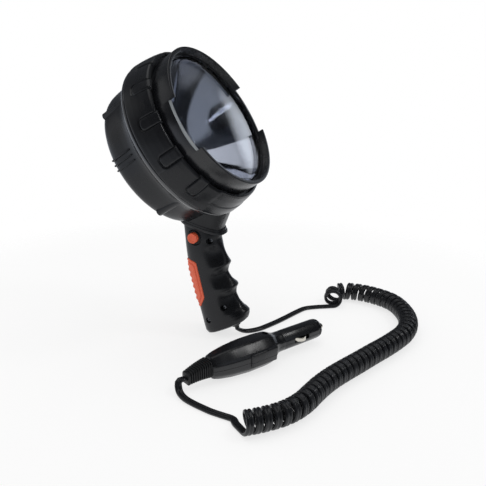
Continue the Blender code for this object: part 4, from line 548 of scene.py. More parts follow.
def coil_sections(cord):
    """Middle, across and outward direction of the cord at each section of the coil."""
    route = [(x, y, cord.coil_radius) for x, y in COIL_ROUTE[:-1]] + [(*COIL_ROUTE[-1], 0.0112)]
    axis = smooth_route(on_ground(route), cord.pitch / 8)
    ring = cord.coil_radius - cord.thickness / 2
    total = len(axis) - 1
    ways = [(axis[min(k + 1, total)] - axis[max(k - 1, 0)]).normalized() for k in range(total + 1)]
    phase = [0.0]
    for k in range(1, total + 1):
        step = (axis[k] - axis[k - 1]).length
        low, high = max(k - 8, 0), min(k + 8, total)
        bend = ways[low].angle(ways[high]) / ((high - low) * step)
        eased = (min(k, total - k) / total - 0.10) / 0.15
        loose = cord.end_pitch + (cord.pitch - cord.end_pitch) * min(max(eased, 0.0), 1.0)
        pitch = loose / (1 - min(bend * ring, 0.55))
        phase.append(phase[-1] + 2 * math.pi * step / pitch)
    turns = round(phase[-1] / (2 * math.pi))
    scale = turns * 2 * math.pi / phase[-1]
    wanted = np.linspace(0.0, turns * 2 * math.pi, turns * cord.per_turn + 1)
    places = np.interp(wanted, [value * scale for value in phase], range(total + 1))
    sections = []
    for angle, place in zip(wanted, places):
        k = min(int(place), total - 1)
        centre = axis[k].lerp(axis[k + 1], place - k)
        along = ways[k].lerp(ways[k + 1], place - k).normalized()
        out = along.cross(UP).normalized() * math.sin(angle) - UP * math.cos(angle)
        sections.append((centre + out * ring, along, out))
    return sections


def lead_sections(route, spacing):
    """Sections of a free stretch, which lies with its flat side down."""
    path = smooth_route(route, spacing)
    ways = [path[min(k + 1, len(path) - 1)] - path[max(k - 1, 0)] for k in range(len(path))]
    ways[0], ways[-1] = route[1] - route[0], route[-1] - route[-2]
    sections = []
    for point, way in zip(path, ways):
        way = way.normalized()
        side = UP.cross(way)
        if side.length < 0.5 and sections:
            side = sections[-1][1] - way * way.dot(sections[-1][1])
        side.normalize()
        if sections and side.dot(sections[-1][1]) < 0:
            side = -side
        sections.append((point, side, side.cross(way)))
    return sections


def cord_outline(cord):
    """Section of the two-core cord: two round lobes with a groove along each flat side."""
    core = cord.thickness / 2
    offset = cord.width / 2 - core
    angles = [math.radians(-140 + 280 * k / 10) for k in range(11)]
    lobe = [(offset + core * math.cos(angle), core * math.sin(angle)) for angle in angles]
    return lobe + [(-across, -thick) for across, thick in lobe]


def cord_sections(cord):
    """The whole cord: from the grommet along the ground, through the coil and into the boot."""
    coil = coil_sections(cord)
    down = (HANDLE.to_3x3() @ Vector((0, 0, -1))).normalized()
    back = (PLUG.to_3x3() @ Vector((-1, 0, 0))).normalized()
    first, last = coil[0][0], coil[-1][0]
    start_way, end_way = coil[1][0] - first, last - coil[-2][0]
    level, level_end = (Vector((way.x, way.y, 0.0)).normalized() for way in (start_way, end_way))
    rest, width = cord.thickness / 2, cord.width
    exit_point = HANDLE @ Vector((BUSH_AHEAD, 0.0, BUSH_FACE - 0.0030)) + down * 0.0003
    boot_end = PLUG @ Vector((-0.0250, 0.0, BOOT_DROP)) + back * 0.0003
    lamp_route = [exit_point, exit_point + down * cord.thickness] + on_ground([
        (0.0345, 0.0030, 0.0045), (0.0385, 0.0075, 0.0024), (0.0435, 0.0125, rest),
        (0.0500, 0.0210, rest), (0.0550, 0.0320, rest), (0.0605, 0.0460, rest),
        (0.0665, 0.0640, rest), (0.0715, 0.0800, rest), (0.0775, 0.0945, rest)])
    lamp_route += [first - level * 3 * width, first - level * 2 * width, first - level * width]
    plug_route = [last + level_end * width, last + level_end * 2 * width] + on_ground([
        (0.0965, -0.1523, rest), (0.0860, -0.1510, rest), (0.0750, -0.1498, rest),
        (0.0650, -0.1475, rest), (0.0540, -0.1445, rest), (0.0430, -0.1405, 0.0024),
        (0.0350, -0.1350, 0.0045)])
    plug_route += [boot_end + back * width, boot_end]
    sections = lead_sections(lamp_route, LEAD_STEP) + coil + lead_sections(plug_route, LEAD_STEP)
    return sections, exit_point


class SEARCHLIGHT_OT_cord(bpy.types.Operator):
    """Lays the cord from the handle through its coil to the plug's boot"""
    bl_idname = "searchlight.cord"
    bl_label = "Curly cord"

    def execute(self, context):
        cord = context.scene.searchlight_cord
        sections, exit_point = cord_sections(cord)
        outline = cord_outline(cord)
        rings = [[point + side * across + out * thick for across, thick in outline]
                 for point, side, out in sections]
        piece = finish_piece(skin_rings(rings), Matrix(), "cord", "two_core_cord", "lamp_lead",
                             "curly_cord", "plug_lead", smooth=60.0)
        return {"FINISHED"}


# Head

def head_form(grow, place):
    """The outside of the band and the rear shell in the frame of what seats on it, for cutting."""
    rows = [(BAND_FRONT, 0.0820), (-0.0205, 0.0832), (-0.0340, 0.0862), (-0.0460, BAND_RADIUS),
            (-0.0490, BAND_RADIUS)] + SHELL_ROWS[4:]
    grown = [(x - grow, radius + grow) for x, radius in rows]
    form = turn_outline([(BAND_FRONT, 0.0)] + grown[:-1] + [(grown[-1][0], 0.0)], 160, False)
    bmesh.ops.transform(form, matrix=place.inverted() @ HEAD, verts=form.verts)
    return form


class SEARCHLIGHT_OT_hood(bpy.types.Operator):
    """Turns the glossy hood and cuts its two notches"""
    bl_idname = "searchlight.hood"
    bl_label = "Hood"

    def execute(self, context):
        head = context.scene.searchlight_head
        bore = head.hood_radius - head.hood_wall
        outline = [(0.0, head.hood_radius - 0.0004), (0.0, bore), (-0.0068, bore),
                   (-0.0068, bore - 0.0022), (-0.0088, bore - 0.0022), (-0.0088, bore),
                   (-head.hood_length, bore), (-head.hood_length, head.hood_radius),
                   (-0.0004, head.hood_radius)]
        reach = head.hood_radius + 0.004
        corner = (-head.notch_depth, -reach, -head.notch_half)
        notch = block(corner, (0.004, reach, head.notch_half))
        # The near notch was trimmed at a slant, more so at its lower end.
        slant = block(corner, (0.004, 0.002 - bore, head.notch_half))
        for vert in slant.verts:
            if vert.co.x < 0 and vert.co.y < -0.075:
                vert.co.x -= 0.0042 if vert.co.z < 0 else 0.0008
        bmesh.ops.triangulate(slant, faces=slant.faces)
        hood = ease(tidy(cut(turn_outline(outline, 256), notch, slant)), 0.0004, 2,
                    math.radians(40))
        piece = finish_piece(hood, HEAD, "gloss_black", "glossy_hood", "hood_ring")
        # The near notch's forward cut face gets a paler grey: a painted highlight where light from
        # above falls.
        refinish(piece, "trimmed", lambda spot, normal: (
            normal.x > 0.5 and -0.0125 < spot.x < -0.0045 and math.hypot(spot.y, spot.z) > bore
            and spot.y < 0 and abs(spot.z) < head.notch_half - 0.0006))
        return {"FINISHED"}


class SEARCHLIGHT_OT_lens(bpy.types.Operator):
    """Turns the domed lens and the gasket behind it"""
    bl_idname = "searchlight.lens"
    bl_label = "Lens and gasket"

    def execute(self, context):
        head = context.scene.searchlight_head
        bore = head.hood_radius - head.hood_wall
        flange, dome, wall = bore - 0.0003, bore - 0.0032, 0.0022
        front, back, rise = -0.0091, -0.0113, 0.0085
        shares = np.linspace(1.0, 0.0, 22)
        outside = [(front + rise * (1 - s * s), dome * s) for s in shares]
        inside = [(back + rise * (1 - s * s), (dome - wall) * s) for s in shares]
        outline = [(back, flange), (front, flange)] + outside + inside[::-1]
        finish_piece(turn_outline(outline, 160), HEAD, "clear", "domed_lens", "lens")
        seal = turn_outline([(-0.0116, flange), (-0.0116, flange - 0.0026),
                             (-0.0131, flange - 0.0026), (-0.0131, flange)], 96)
        finish_piece(ease(seal, 0.0004, 3), HEAD, "black_rubber", "lens_seal", "lens_gasket")
        return {"FINISHED"}


class SEARCHLIGHT_OT_reflector(bpy.types.Operator):
    """Turns the reflector bowl with its neck"""
    bl_idname = "searchlight.reflector"
    bl_label = "Reflector"

    def execute(self, context):
        head = context.scene.searchlight_head
        bore = head.hood_radius - head.hood_wall
        rim, hole, wall = bore - 0.0040, 0.0098, 0.0018
        front, apex = -0.0134, -0.0654
        span = rim ** 2 - hole ** 2
        shares = np.linspace(1.0, hole / rim, 30)
        inside = [(apex + (front - apex) * ((s * rim) ** 2 - hole ** 2) / span, s * rim)
                  for s in shares]
        outside = [(x - wall * (radius / rim + 0.3), radius + wall / 2)
                   for x, radius in inside[1:-1]]
        neck = [(apex - 0.0060, hole), (apex - 0.0060, 0.0165), (apex - 0.0042, 0.0165),
                (apex - 0.0042, hole + wall), (apex - wall, hole + wall)]
        flange = [(front - wall, rim + wall / 2), (front - wall, bore - 0.0003),
                  (front, bore - 0.0003)]
        outline = inside + neck + outside[::-1] + flange
        finish_piece(turn_outline(outline, 160), HEAD, "reflector", "mirror_bowl", "reflector")
        return {"FINISHED"}


class SEARCHLIGHT_OT_bulb(bpy.types.Operator):
    """Turns the bulb's envelope and its base"""
    bl_idname = "searchlight.bulb"
    bl_label = "Bulb"

    def execute(self, context):
        foot, tip, radius, wall = -0.0651, -0.0461, 0.0056, 0.0007
        glass = [(foot, radius)]
        for around, angles in ((radius, np.linspace(0.0, math.pi / 2, 10)),
                               (radius - wall, np.linspace(math.pi / 2, 0.0, 10))):
            glass += [(tip - radius + around * math.sin(a), around * math.cos(a)) for a in angles]
        glass[10:12] = [(tip, 0.0), (tip - wall, 0.0)]
        glass.append((foot, radius - wall))
        finish_piece(turn_outline(glass, 48), HEAD, "bulb_glass", "bulb_envelope", "bulb_glass")
        base = [(-0.0654, 0.0), (-0.0654, 0.0072), (-0.0658, 0.0092), (-0.0717, 0.0092),
                (-0.0717, 0.0122), (-0.0729, 0.0122), (-0.0729, 0.0055), (-0.0800, 0.0055),
                (-0.0804, 0.0048), (-0.0804, 0.0)]
        finish_piece(turn_outline(base, 48, False), HEAD, "steel", "bulb_cap", "bulb_base")
        return {"FINISHED"}


def band_columns(count, tab_angle):
    """Angles of the band's columns within one sector, closer together at the tab's grooves."""
    half = math.pi / count
    angles = np.linspace(-half, half, 400)
    crowd = 1 + 3.2 * np.exp(-((np.abs(angles) - tab_angle) / math.radians(0.95)) ** 2)
    share = np.cumsum(crowd)
    share = (share - share[0]) / (share[-1] - share[0])
    return share, angles


def tab_distance(x, around, head):
    """Distance from the edge of a tab, negative inside it; the tab is open at the front."""
    corner = 0.0042
    along = abs(x + 0.0140) - (head.tab_reach - 0.0140 - corner)
    aside = abs(around) - (head.tab_half - corner)
    return math.hypot(max(along, 0.0), max(aside, 0.0)) + min(max(along, aside), 0.0) - corner


class SEARCHLIGHT_OT_band(bpy.types.Operator):
    """Turns the front band with a groove round each tab and a castellated front edge"""
    bl_idname = "searchlight.band"
    bl_label = "Front band"

    def execute(self, context):
        head = context.scene.searchlight_head
        count, columns = head.tab_count, 40
        places = [*np.arange(0.0185, 0.0355, 0.0006), *np.arange(0.0355, 0.0402, 0.00035),
                  *np.arange(0.0402, 0.0470, 0.0012), 0.0472, 0.0478, 0.0480]
        marks = (0.0185, 0.0187, 0.0205, 0.0270, 0.0340, 0.0400, 0.0460, 0.0476, 0.0480)
        radii = (0.0816, 0.0820, 0.0832, 0.0849, 0.0862, 0.0871, 0.0877, 0.0875, 0.0870)
        outer = [(-p, float(np.interp(p, marks, radii))) for p in places]
        inner = [(-0.0480, 0.0846), (-0.0245, 0.0806), (-0.0245, 0.0705), (-0.0155, 0.0705),
                 (-0.0155, 0.0727), (-0.0223, 0.0727), (-0.0223, 0.0796), (-0.0185, 0.0796)]
        band = turn_outline(outer + inner, count * columns)
        first = math.radians(13.2)
        sector = 2 * math.pi / count
        tab_radius = 0.086
        share, angles = band_columns(count, head.tab_half / tab_radius)
        least = dict(zip([round(p, 6) for p in places], [r for _, r in outer]))

        def shape_band(x, radius, angle):
            turn = (angle - first) / sector
            number = math.floor(turn + 0.5)
            offset = float(np.interp(turn - number + 0.5, share, angles))
            angle = first + number * sector + offset
            outside = radius > least.get(round(-x, 6), 1.0) - 0.0002
            around = offset * tab_radius
            degrees = math.degrees(angle) % 360
            plain = soft_step((degrees - 234) / 3) * soft_step((306 - degrees) / 3)
            if outside:
                gap = tab_distance(x, around, head)
                groove = math.exp(-(gap / 0.00080) ** 2)
                tab = 0.0003 if gap < 0 else 0.0
                line = math.exp(-((x + 0.0352) / 0.0006) ** 2)
                rise = 0.0005 if x < -0.0352 else 0.0
                radius += (1 - plain) * (tab - head.groove_depth * groove)
                radius += plain * (rise - 0.0009 * line - 0.0004)
            if x > -0.0215 and radius > 0.079:
                between = soft_step((abs(around) - 0.0068) / 0.0004) * (1 - plain)
                x -= 0.0014 * between * min((x + 0.0215) / 0.0028, 1.0)
            return x, radius, angle

        polar(band, shape_band)
        bmesh.ops.recalc_face_normals(band, faces=band.faces)
        finish_piece(band, HEAD, "satin_black", "tabbed_band", "front_band", smooth=50.0)
        return {"FINISHED"}


# Outer outline of the rear shell, with the bead at its front edge
SHELL_ROWS = [
    (-0.0484, 0.0858), (-0.0487, 0.0867), (-0.0494, 0.08705), (-0.0504, 0.08705), (-0.0516, 0.0867),
    (-0.0530, 0.0858), (-0.0542, 0.0846), (-0.0551, 0.0834), (-0.0558, 0.0824), (-0.0572, 0.0812),
    (-0.0600, 0.0796), (-0.0650, 0.0783), (-0.0720, 0.0776), (-0.0800, 0.0772), (-0.0850, 0.0766),
    (-0.0880, 0.0757), (-0.0900, 0.0744), (-0.0920, 0.0722), (-0.0940, 0.0690), (-0.0965, 0.0632),
    (-0.0990, 0.0560), (-0.1008, 0.0450), (-0.1020, 0.0330), (-0.1027, 0.0180), (-0.1030, 0.0),
]


class SEARCHLIGHT_OT_shell(bpy.types.Operator):
    """Turns the rear shell and adds its screw towers and side ribs"""
    bl_idname = "searchlight.shell"
    bl_label = "Rear shell"

    def execute(self, context):
        inner = [(x + 0.0030, max(radius - 0.0028, 0.0)) for x, radius in SHELL_ROWS[9:-1]]
        outline = SHELL_ROWS + [(-0.0998, 0.0)] + inner[::-1] + [
            (-0.0515, 0.0818), (-0.0448, 0.0815), (-0.0448, 0.0834), (-0.0484, 0.0838)]
        quarters = (math.pi / 4 + k * math.pi / 2 for k in range(4))
        spots = [Vector((0.0, SCREW_CIRCLE * math.cos(a), SCREW_CIRCLE * math.sin(a)))
                 for a in quarters]

        def posts(front, back, radius, segments):
            """A rod through each screw's place."""
            return [rod(spot + Vector((front, 0, 0)), spot + Vector((back, 0, 0)), radius, segments)
                    for spot in spots]

        towers = [ease(post, 0.0007, 3) for post in posts(-0.0495, -0.0882, 0.0041, 40)]
        ribs = []
        for side in (0.0, math.pi):
            for k in (-1, 0, 1):
                rib = block((-0.0900, 0.0740, -0.0012), (-0.0650, 0.0798, 0.0012))
                for vert in rib.verts:
                    if vert.co.y > 0.079:
                        vert.co.z *= 0.6
                        vert.co.y -= 0.0020 if vert.co.x < -0.08 else 0.0006
                ease(rib, 0.0004, 2)
                lift = -0.05 if side else 0.05
                turn = Matrix.Rotation(side + lift + k * 0.0062 / BAND_RADIUS, 3, "X")
                bmesh.ops.rotate(rib, cent=(0, 0, 0), matrix=turn, verts=rib.verts)
                ribs.append(rib)
        shell = cut(turn_outline(outline, 192), gather(towers), gather(ribs), operation="UNION")
        shell = cut(shell, gather(posts(SHELL_SEAT, -0.0960, HEAD_HOLE, 40)),
                    gather(posts(-0.0450, SHELL_SEAT - 0.0005, SCREW_HOLE, 20)),
                    rod((-0.0800, 0, -0.0900), (-0.0800, 0, -0.0300), 0.0050, 32))
        piece = finish_piece(tidy(shell), HEAD, "satin_black", "ribbed_shell", "rear_shell",
                             smooth=32.0)
        refinish(piece, "bead", lambda spot, normal: (
            -0.0560 < spot.x < SHELL_ROWS[0][0] and math.hypot(spot.y, spot.z) > 0.0822))
        return {"FINISHED"}


def screw_shape(seat, reach):
    """A pan-head screw along X with a cross recess: its head stands behind the seat."""
    outline = [(seat - 0.0022, 0.0), (seat - 0.0022, 0.0019), (seat - 0.0019, 0.0025),
               (seat - 0.0012, 0.0029), (seat - 0.0004, 0.0030), (seat, 0.0030), (seat, 0.0014),
               (seat + reach - 0.0014, 0.0014), (seat + reach, 0.0)]
    cross = [block((seat - 0.0030, -wide, -tall), (seat - 0.0010, wide, tall))
             for wide, tall in ((0.0016, 0.00035), (0.00035, 0.0016))]
    return tidy(cut(turn_outline(outline, 40, False), *cross))


class SEARCHLIGHT_OT_screws(bpy.types.Operator):
    """Adds the cross-head screws of the shell, the handle and the plug"""
    bl_idname = "searchlight.screws"
    bl_label = "Screws"

    def execute(self, context):
        handle = context.scene.searchlight_handle
        screws = []
        for number in range(1, 5):
            angle = math.pi / 4 + (number - 1) * math.pi / 2
            spot = Matrix.Translation((SHELL_SEAT, SCREW_CIRCLE * math.cos(angle),
                                       SCREW_CIRCLE * math.sin(angle)))
            screws.append((f"shell_screw_{number}", f"shell_screw_with_cross_{number}", 0.0265,
                           HEAD @ spot))
        for number, (down, across, seat) in enumerate(HANDLE_SCREWS, 1):
            depth = handle.half_width * seat
            spot = Matrix.Translation((across, -depth, -down)) @ QUARTER
            screws.append((f"handle_screw_{number}", f"handle_screw_with_cross_{number}",
                           depth + 0.0070, HANDLE @ spot))
        spot = Matrix.Translation((PLUG_SCREW, 0.0, 0.0090)) @ turned(90.0, "Y")
        screws.append(("plug_screw", "plug_screw_with_cross", 0.0175, PLUG @ spot))
        for node, name, reach, place in screws:
            finish_piece(screw_shape(-0.0003, reach), place, "steel", name, node)
        return {"FINISHED"}


# Handle

# Place down the handle, place across it and depth share of each screw's seat
HANDLE_SCREWS = ((0.0081, 0.0152, 0.400), (0.0818, 0.0087, 0.580), (0.0929, -0.0139, 0.632))

# Place down the handle, rear reach, front reach, half width, pinch and slant, as shares
HANDLE_ROWS = (
    (-0.330, 0.300, 0.780, 0.860, 0.00, 0.00), (-0.185, 0.420, 0.840, 0.920, 0.00, 0.00),
    (-0.055, 0.560, 0.960, 0.960, 0.00, 0.00), (0.020, 0.650, 0.975, 0.975, 0.06, 0.00),
    (0.046, 0.680, 0.965, 0.980, 0.08, 0.00), (0.078, 0.715, 0.900, 0.980, 0.09, 0.00),
    (0.130, 0.768, 0.880, 0.980, 0.10, 0.00), (0.222, 0.848, 0.920, 0.995, 0.08, 0.00),
    (0.305, 0.888, 0.972, 1.000, 0.06, 0.00), (0.343, 0.904, 0.984, 1.000, 0.06, 0.00),
    (0.380, 0.916, 0.824, 0.995, 0.08, 0.00), (0.426, 0.924, 0.748, 0.995, 0.10, 0.00),
    (0.500, 0.940, 0.848, 1.000, 0.08, 0.00), (0.555, 0.952, 0.976, 1.005, 0.06, 0.00),
    (0.579, 0.956, 1.016, 1.005, 0.06, 0.00), (0.611, 0.964, 0.880, 1.005, 0.08, 0.00),
    (0.657, 0.976, 0.828, 1.005, 0.10, 0.00), (0.731, 0.992, 0.896, 1.020, 0.08, 0.00),
    (0.815, 1.012, 1.024, 1.030, 0.06, 0.04), (0.880, 1.032, 1.176, 1.045, 0.06, 0.10),
    (0.935, 1.040, 1.120, 1.045, 0.06, 0.16), (0.970, 0.940, 1.010, 1.020, 0.06, 0.16),
    (0.982, 0.830, 0.880, 0.880, 0.04, 0.16),
)

# Finger scoops: middle, half length and where each starts ahead of the handle's axis
SCOOPS = ((0.0250, 0.0112, 0.0045), (0.0505, 0.0098, 0.0015), (0.0775, 0.0128, 0.0035))


def even_out(share, shares, column, steps):
    """Mean of a column's values around a share of the length."""
    return float(np.mean([np.interp(share + step, shares, column) for step in steps]))


def handle_row(down, handle):
    """Rear reach, front reach, half width, pinch and slant at a place down the handle."""
    share = down / handle.length
    columns = list(zip(*HANDLE_ROWS))
    steps = (0.0,) if share > 0.965 else (-0.008, -0.004, 0.0, 0.004, 0.008)
    rear, front, half, pinch, slant = (even_out(share, columns[0], column, steps)
                                       for column in columns[1:])
    return rear * handle.reach, front * handle.reach, half * handle.half_width, pinch, slant


def handle_point(down, angle, handle, grow=0.0):
    """A point of the handle's surface: the angle is 0 at the front and half a turn at the back."""
    rear, front, half, pinch, slant = handle_row(down, handle)
    c, s = math.cos(angle), math.sin(angle)
    power = 2 / 2.6
    x = math.copysign(abs(c) ** power, c) * ((front if c > 0 else rear) + grow)
    y = math.copysign(abs(s) ** power, s) * (half + grow)
    forward = max(x, 0.0) / front
    y *= 1 - pinch * forward ** 1.5
    for middle, length, onset in SCOOPS:
        dish = 1 - ((down - middle) / length) ** 2
        if dish > 0 and x > onset:
            y *= 1 - handle.scoop * dish ** 1.1 * soft_step((x - onset) / (front * 1.05 - onset))
    return Vector((x, y, -down + slant * x))


def handle_shape(handle, grow=0.0, points=88):
    """The handle's outer form."""
    start, end = -0.330 * handle.length, 0.982 * handle.length
    places = list(np.arange(start, 0.0, 0.0030)) + list(np.arange(0.0, end - 0.0060, 0.0009))
    places += list(np.linspace(end - 0.0060, end, 10))
    return skin_rings([[handle_point(down, 2 * math.pi * (k + 0.5) / points, handle, grow)
                        for k in range(points)] for down in places])


def hollow_shape(handle):
    """The handle's hollow, a wall inside its narrowest form."""
    wall = 0.0040

    def ring(down):
        rear, _, half, _, _ = handle_row(down, handle)
        scooped = 0.14 < down / handle.length < 0.84

        def inside(c, s):
            x = c * (0.748 * handle.reach - wall if c > 0 else rear - wall)
            return Vector((x, s * (half - wall) * (0.62 if scooped and x > 0.004 else 1.0), -down))

        return section(32, 0.77, inside)

    return skin_rings([ring(down)
                       for down in np.linspace(-0.340 * handle.length, 0.900 * handle.length, 12)])


def across_rod(down, across, low, high, radius, segments=40, second=None):
    """A rod along Y at a place down and across the handle."""
    return rod((across, low, -down), (across, high, -down), radius, segments, second)


class SEARCHLIGHT_OT_handle(bpy.types.Operator):
    """Lofts the pistol grip with its finger scoops and splits it into halves"""
    bl_idname = "searchlight.handle"
    bl_label = "Handle halves"

    def execute(self, context):
        handle = context.scene.searchlight_handle
        holes, threads = [], []
        for down, across, seat in HANDLE_SCREWS:
            depth = -handle.half_width * seat
            holes.append(across_rod(down, across, -0.022, depth, HEAD_HOLE))
            threads.append(across_rod(down, across, depth - 0.0003, 0.0076, SCREW_HOLE, 16))
        well = across_rod(0.0002, 0.0, -0.0195, -0.0070, 0.0077, 48)
        dish = across_rod(0.0002, 0.0008, -0.0175, -0.0141, 0.0112, 48, 0.0079)
        slot = ease(block((-0.0126, -0.0200, 0.0073), (-0.0104, -0.0105, 0.0131)), 0.0009, 3)
        bush = skin_rings([bush_ring(height, 0.0003, 0.0) for height in (-0.1120, -0.0900)])
        grip = cut(handle_shape(handle), head_form(0.0003, HANDLE),
                   insert_shape(handle, 0.0004, -0.0024, 0.0030, 1.004), hollow_shape(handle),
                   gather(holes), gather(threads), well, dish, slot, bush)
        split_piece(grip, HANDLE, "satin_black", (
            ("right_handle_half", "handle_right", (-0.09, -HALF_GAP, -0.16), (0.09, 0.05, 0.09)),
            ("left_handle_half", "handle_left", (-0.09, -0.05, -0.16), (0.09, HALF_GAP, 0.09))))
        return {"FINISHED"}


def insert_outline():
    """Rounded outline of the insert as (place down, angle from the back), all round."""
    stretch, ease_length = 45, 0.13
    half = [(0.0214, 0.80), (0.0268, 1.36), (0.0672, 1.26), (0.0765, 0.80)]
    corners = [Vector((down * stretch, angle)) for down, angle in half]
    corners += [Vector((down * stretch, -angle)) for down, angle in half[::-1]]
    points = []
    for k, corner in enumerate(corners):
        before = corner + (corners[k - 1] - corner).normalized() * ease_length
        after = corner + (corners[(k + 1) % len(corners)] - corner).normalized() * ease_length
        points += [eased_corner(before, corner, after, t) for t in np.linspace(0.0, 1.0, 7)]
    return [(down / stretch, angle) for down, angle in spread(points + points[:1], count=180)[:-1]]


# Ridges across the insert
RIDGE_PITCH = 0.0066
RIDGE_HEIGHT = 0.0010


def insert_shape(handle, margin, floor, stand, scale=1.0, detail=False):
    """The insert's patch over the back of the handle, between two depths."""
    outline = insert_outline()
    middle = 0.0490

    def ring(share, lift):
        points = []
        for down, angle in outline:
            place = middle + (down - middle) * share * (scale + margin * 20)
            turn = angle * share * (scale + margin * 12)
            rise = lift
            if detail and share < 0.80:
                ridge = 0.5 - 0.5 * math.cos(2 * math.pi * (place - 0.0240) / RIDGE_PITCH)
                ridge *= RIDGE_HEIGHT * soft_step((0.85 - abs(turn)) / 0.3)
                rise += ridge * soft_step((0.80 - share) / 0.08)
            points.append(handle_point(place, math.pi - turn, handle, rise))
        return points

    rings = [ring(0.05, floor), ring(0.5, floor), ring(1.0, floor), ring(1.0, stand * 0.3)]
    if detail:
        border = ((0.995, 0.8), (0.985, 1.0), (0.93, 1.0), (0.925, 1.0), (0.915, 0.3),
                  (0.900, -0.6), (0.880, -0.6), (0.865, 0.3), (0.855, 0.9))
        rings += [ring(share, stand * height) for share, height in border]
        inner = np.linspace(0.84, 0.04, 34)
    else:
        inner = [1.0, *np.linspace(0.9, 0.05, 12)]
    return skin_rings(rings + [ring(share, stand) for share in inner])


class SEARCHLIGHT_OT_insert(bpy.types.Operator):
    """Lays the orange insert over the back of the handle"""
    bl_idname = "searchlight.insert"
    bl_label = "Grip insert"

    def execute(self, context):
        handle = context.scene.searchlight_handle
        shape = insert_shape(handle, 0.0, -0.0019, handle.insert_stand, 1.0, True)
        finish_piece(shape, HANDLE, "orange_rubber", "ridged_insert", "grip_insert", smooth=60.0)
        return {"FINISHED"}


def collar_ring(height, ahead, behind, half):
    """A slanted section of the collar."""
    def around(c, s):
        x = c * (ahead if c > 0 else behind)
        return Vector((x, s * half, 0.0120 - 0.63 * x + height))

    return section(88, 2 / 3.2, around)


# Height up the collar, front reach, rear reach and half width, as shares
COLLAR_ROWS = (
    (0.0000, 0.955, 0.93, 0.965), (0.0005, 0.985, 0.97, 0.985), (0.0012, 1.00, 1.00, 1.00),
    (0.0034, 1.010, 1.00, 1.003), (0.0037, 0.985, 0.975, 0.980), (0.0062, 0.995, 0.975, 0.983),
    (0.0065, 0.970, 0.955, 0.965), (0.0080, 0.985, 0.955, 0.968), (0.0120, 1.055, 0.950, 0.985),
    (0.0180, 1.170, 0.940, 1.015), (0.0260, 1.320, 0.90, 1.060), (0.0400, 1.560, 0.80, 1.130),
)


class SEARCHLIGHT_OT_collar(bpy.types.Operator):
    """Lofts the neck collar between the head and the handle"""
    bl_idname = "searchlight.collar"
    bl_label = "Neck collar"

    def execute(self, context):
        handle = context.scene.searchlight_handle
        front, rear = handle.reach + 0.0045, handle.reach * 0.50
        half = handle.half_width + 0.0017
        collar = skin_rings([collar_ring(height, ahead * front, behind * rear, wide * half)
                             for height, ahead, behind, wide in COLLAR_ROWS])
        collar = cut(collar, head_form(0.0002, HANDLE), handle_shape(handle, 0.0003, 64))
        finish_piece(tidy(collar), HANDLE, "satin_black", "stepped_collar", "neck_collar")
        return {"FINISHED"}


class SEARCHLIGHT_OT_button(bpy.types.Operator):
    """Turns the push button and the bezel round it"""
    bl_idname = "searchlight.button"
    bl_label = "Push button"

    def execute(self, context):
        handle = context.scene.searchlight_handle
        radius, face = handle.button_radius, handle.button_face
        place = HANDLE @ Matrix.Translation((0.0, 0.0, -0.0002)) @ QUARTER
        dish = ((0.0006, 0.0), (0.0006, radius * 0.55), (0.0005, radius * 0.68),
                (0.0001, radius * 0.76), (0.0, radius * 0.84), (0.0001, radius - 0.0004),
                (0.0005, radius))
        cap = [(-face + behind, across) for behind, across in dish]
        cap += [(-0.0123, radius), (-0.0123, radius + 0.0011), (-0.0113, radius + 0.0011),
                (-0.0113, 0.0018), (-0.0071, 0.0018), (-0.0071, 0.0)]
        finish_piece(turn_outline(cap, 64, False), place, "orange_rubber", "dished_button",
                     "push_button", body="button", smooth=50.0)
        ring = [(-0.0153, 0.0074), (-0.0153, 0.0059), (-0.0126, 0.0059), (-0.0126, 0.0074)]
        bezel = ease(turn_outline(ring, 64), 0.0004, 3)
        finish_piece(bezel, place, "black_rubber", "button_surround", "button_bezel")
        return {"FINISHED"}


def bush_ring(height, grow, slant):
    """A section of the cord bush under the handle."""
    def around(c, s):
        x = BUSH_AHEAD + c * (0.0034 + grow)
        return Vector((x, s * (0.0052 + grow), height + slant * x))

    return section(36, 0.667, around)


class SEARCHLIGHT_OT_bush(bpy.types.Operator):
    """Lofts the rubber bush where the cord leaves the handle"""
    bl_idname = "searchlight.bush"
    bl_label = "Cord bush"

    def execute(self, context):
        slanted = ((0.0003, 0.0), (0.0003, 0.0010), (0.0006, 0.0012), (0.0013, 0.0012),
                   (0.0016, 0.0009))
        rings = [bush_ring(BUSH_FACE + 0.0050, -0.0003, 0.0),
                 bush_ring(BUSH_FACE + 0.0046, 0.0, 0.0)]
        rings += [bush_ring(HANDLE_FOOT - below, grow, FOOT_SLANT) for below, grow in slanted]
        rings += [bush_ring(BUSH_FACE - 0.0027, 0.0002, 0.0),
                  bush_ring(BUSH_FACE - 0.0030, -0.0002, 0.0)]
        finish_piece(skin_rings(rings), HANDLE, "black_rubber", "cord_bush", "cord_grommet")
        return {"FINISHED"}


# Plug

# Length share, half width share and half height share of the plug's body
PLUG_ROWS = (
    (0.000, 0.500, 0.600), (0.005, 0.560, 0.670), (0.012, 0.600, 0.715), (0.055, 0.710, 0.820),
    (0.150, 0.860, 0.930), (0.290, 0.990, 1.000), (0.440, 0.985, 0.995), (0.520, 0.900, 0.945),
    (0.560, 0.750, 0.830), (0.600, 0.630, 0.722), (0.628, 0.601, 0.697),
)


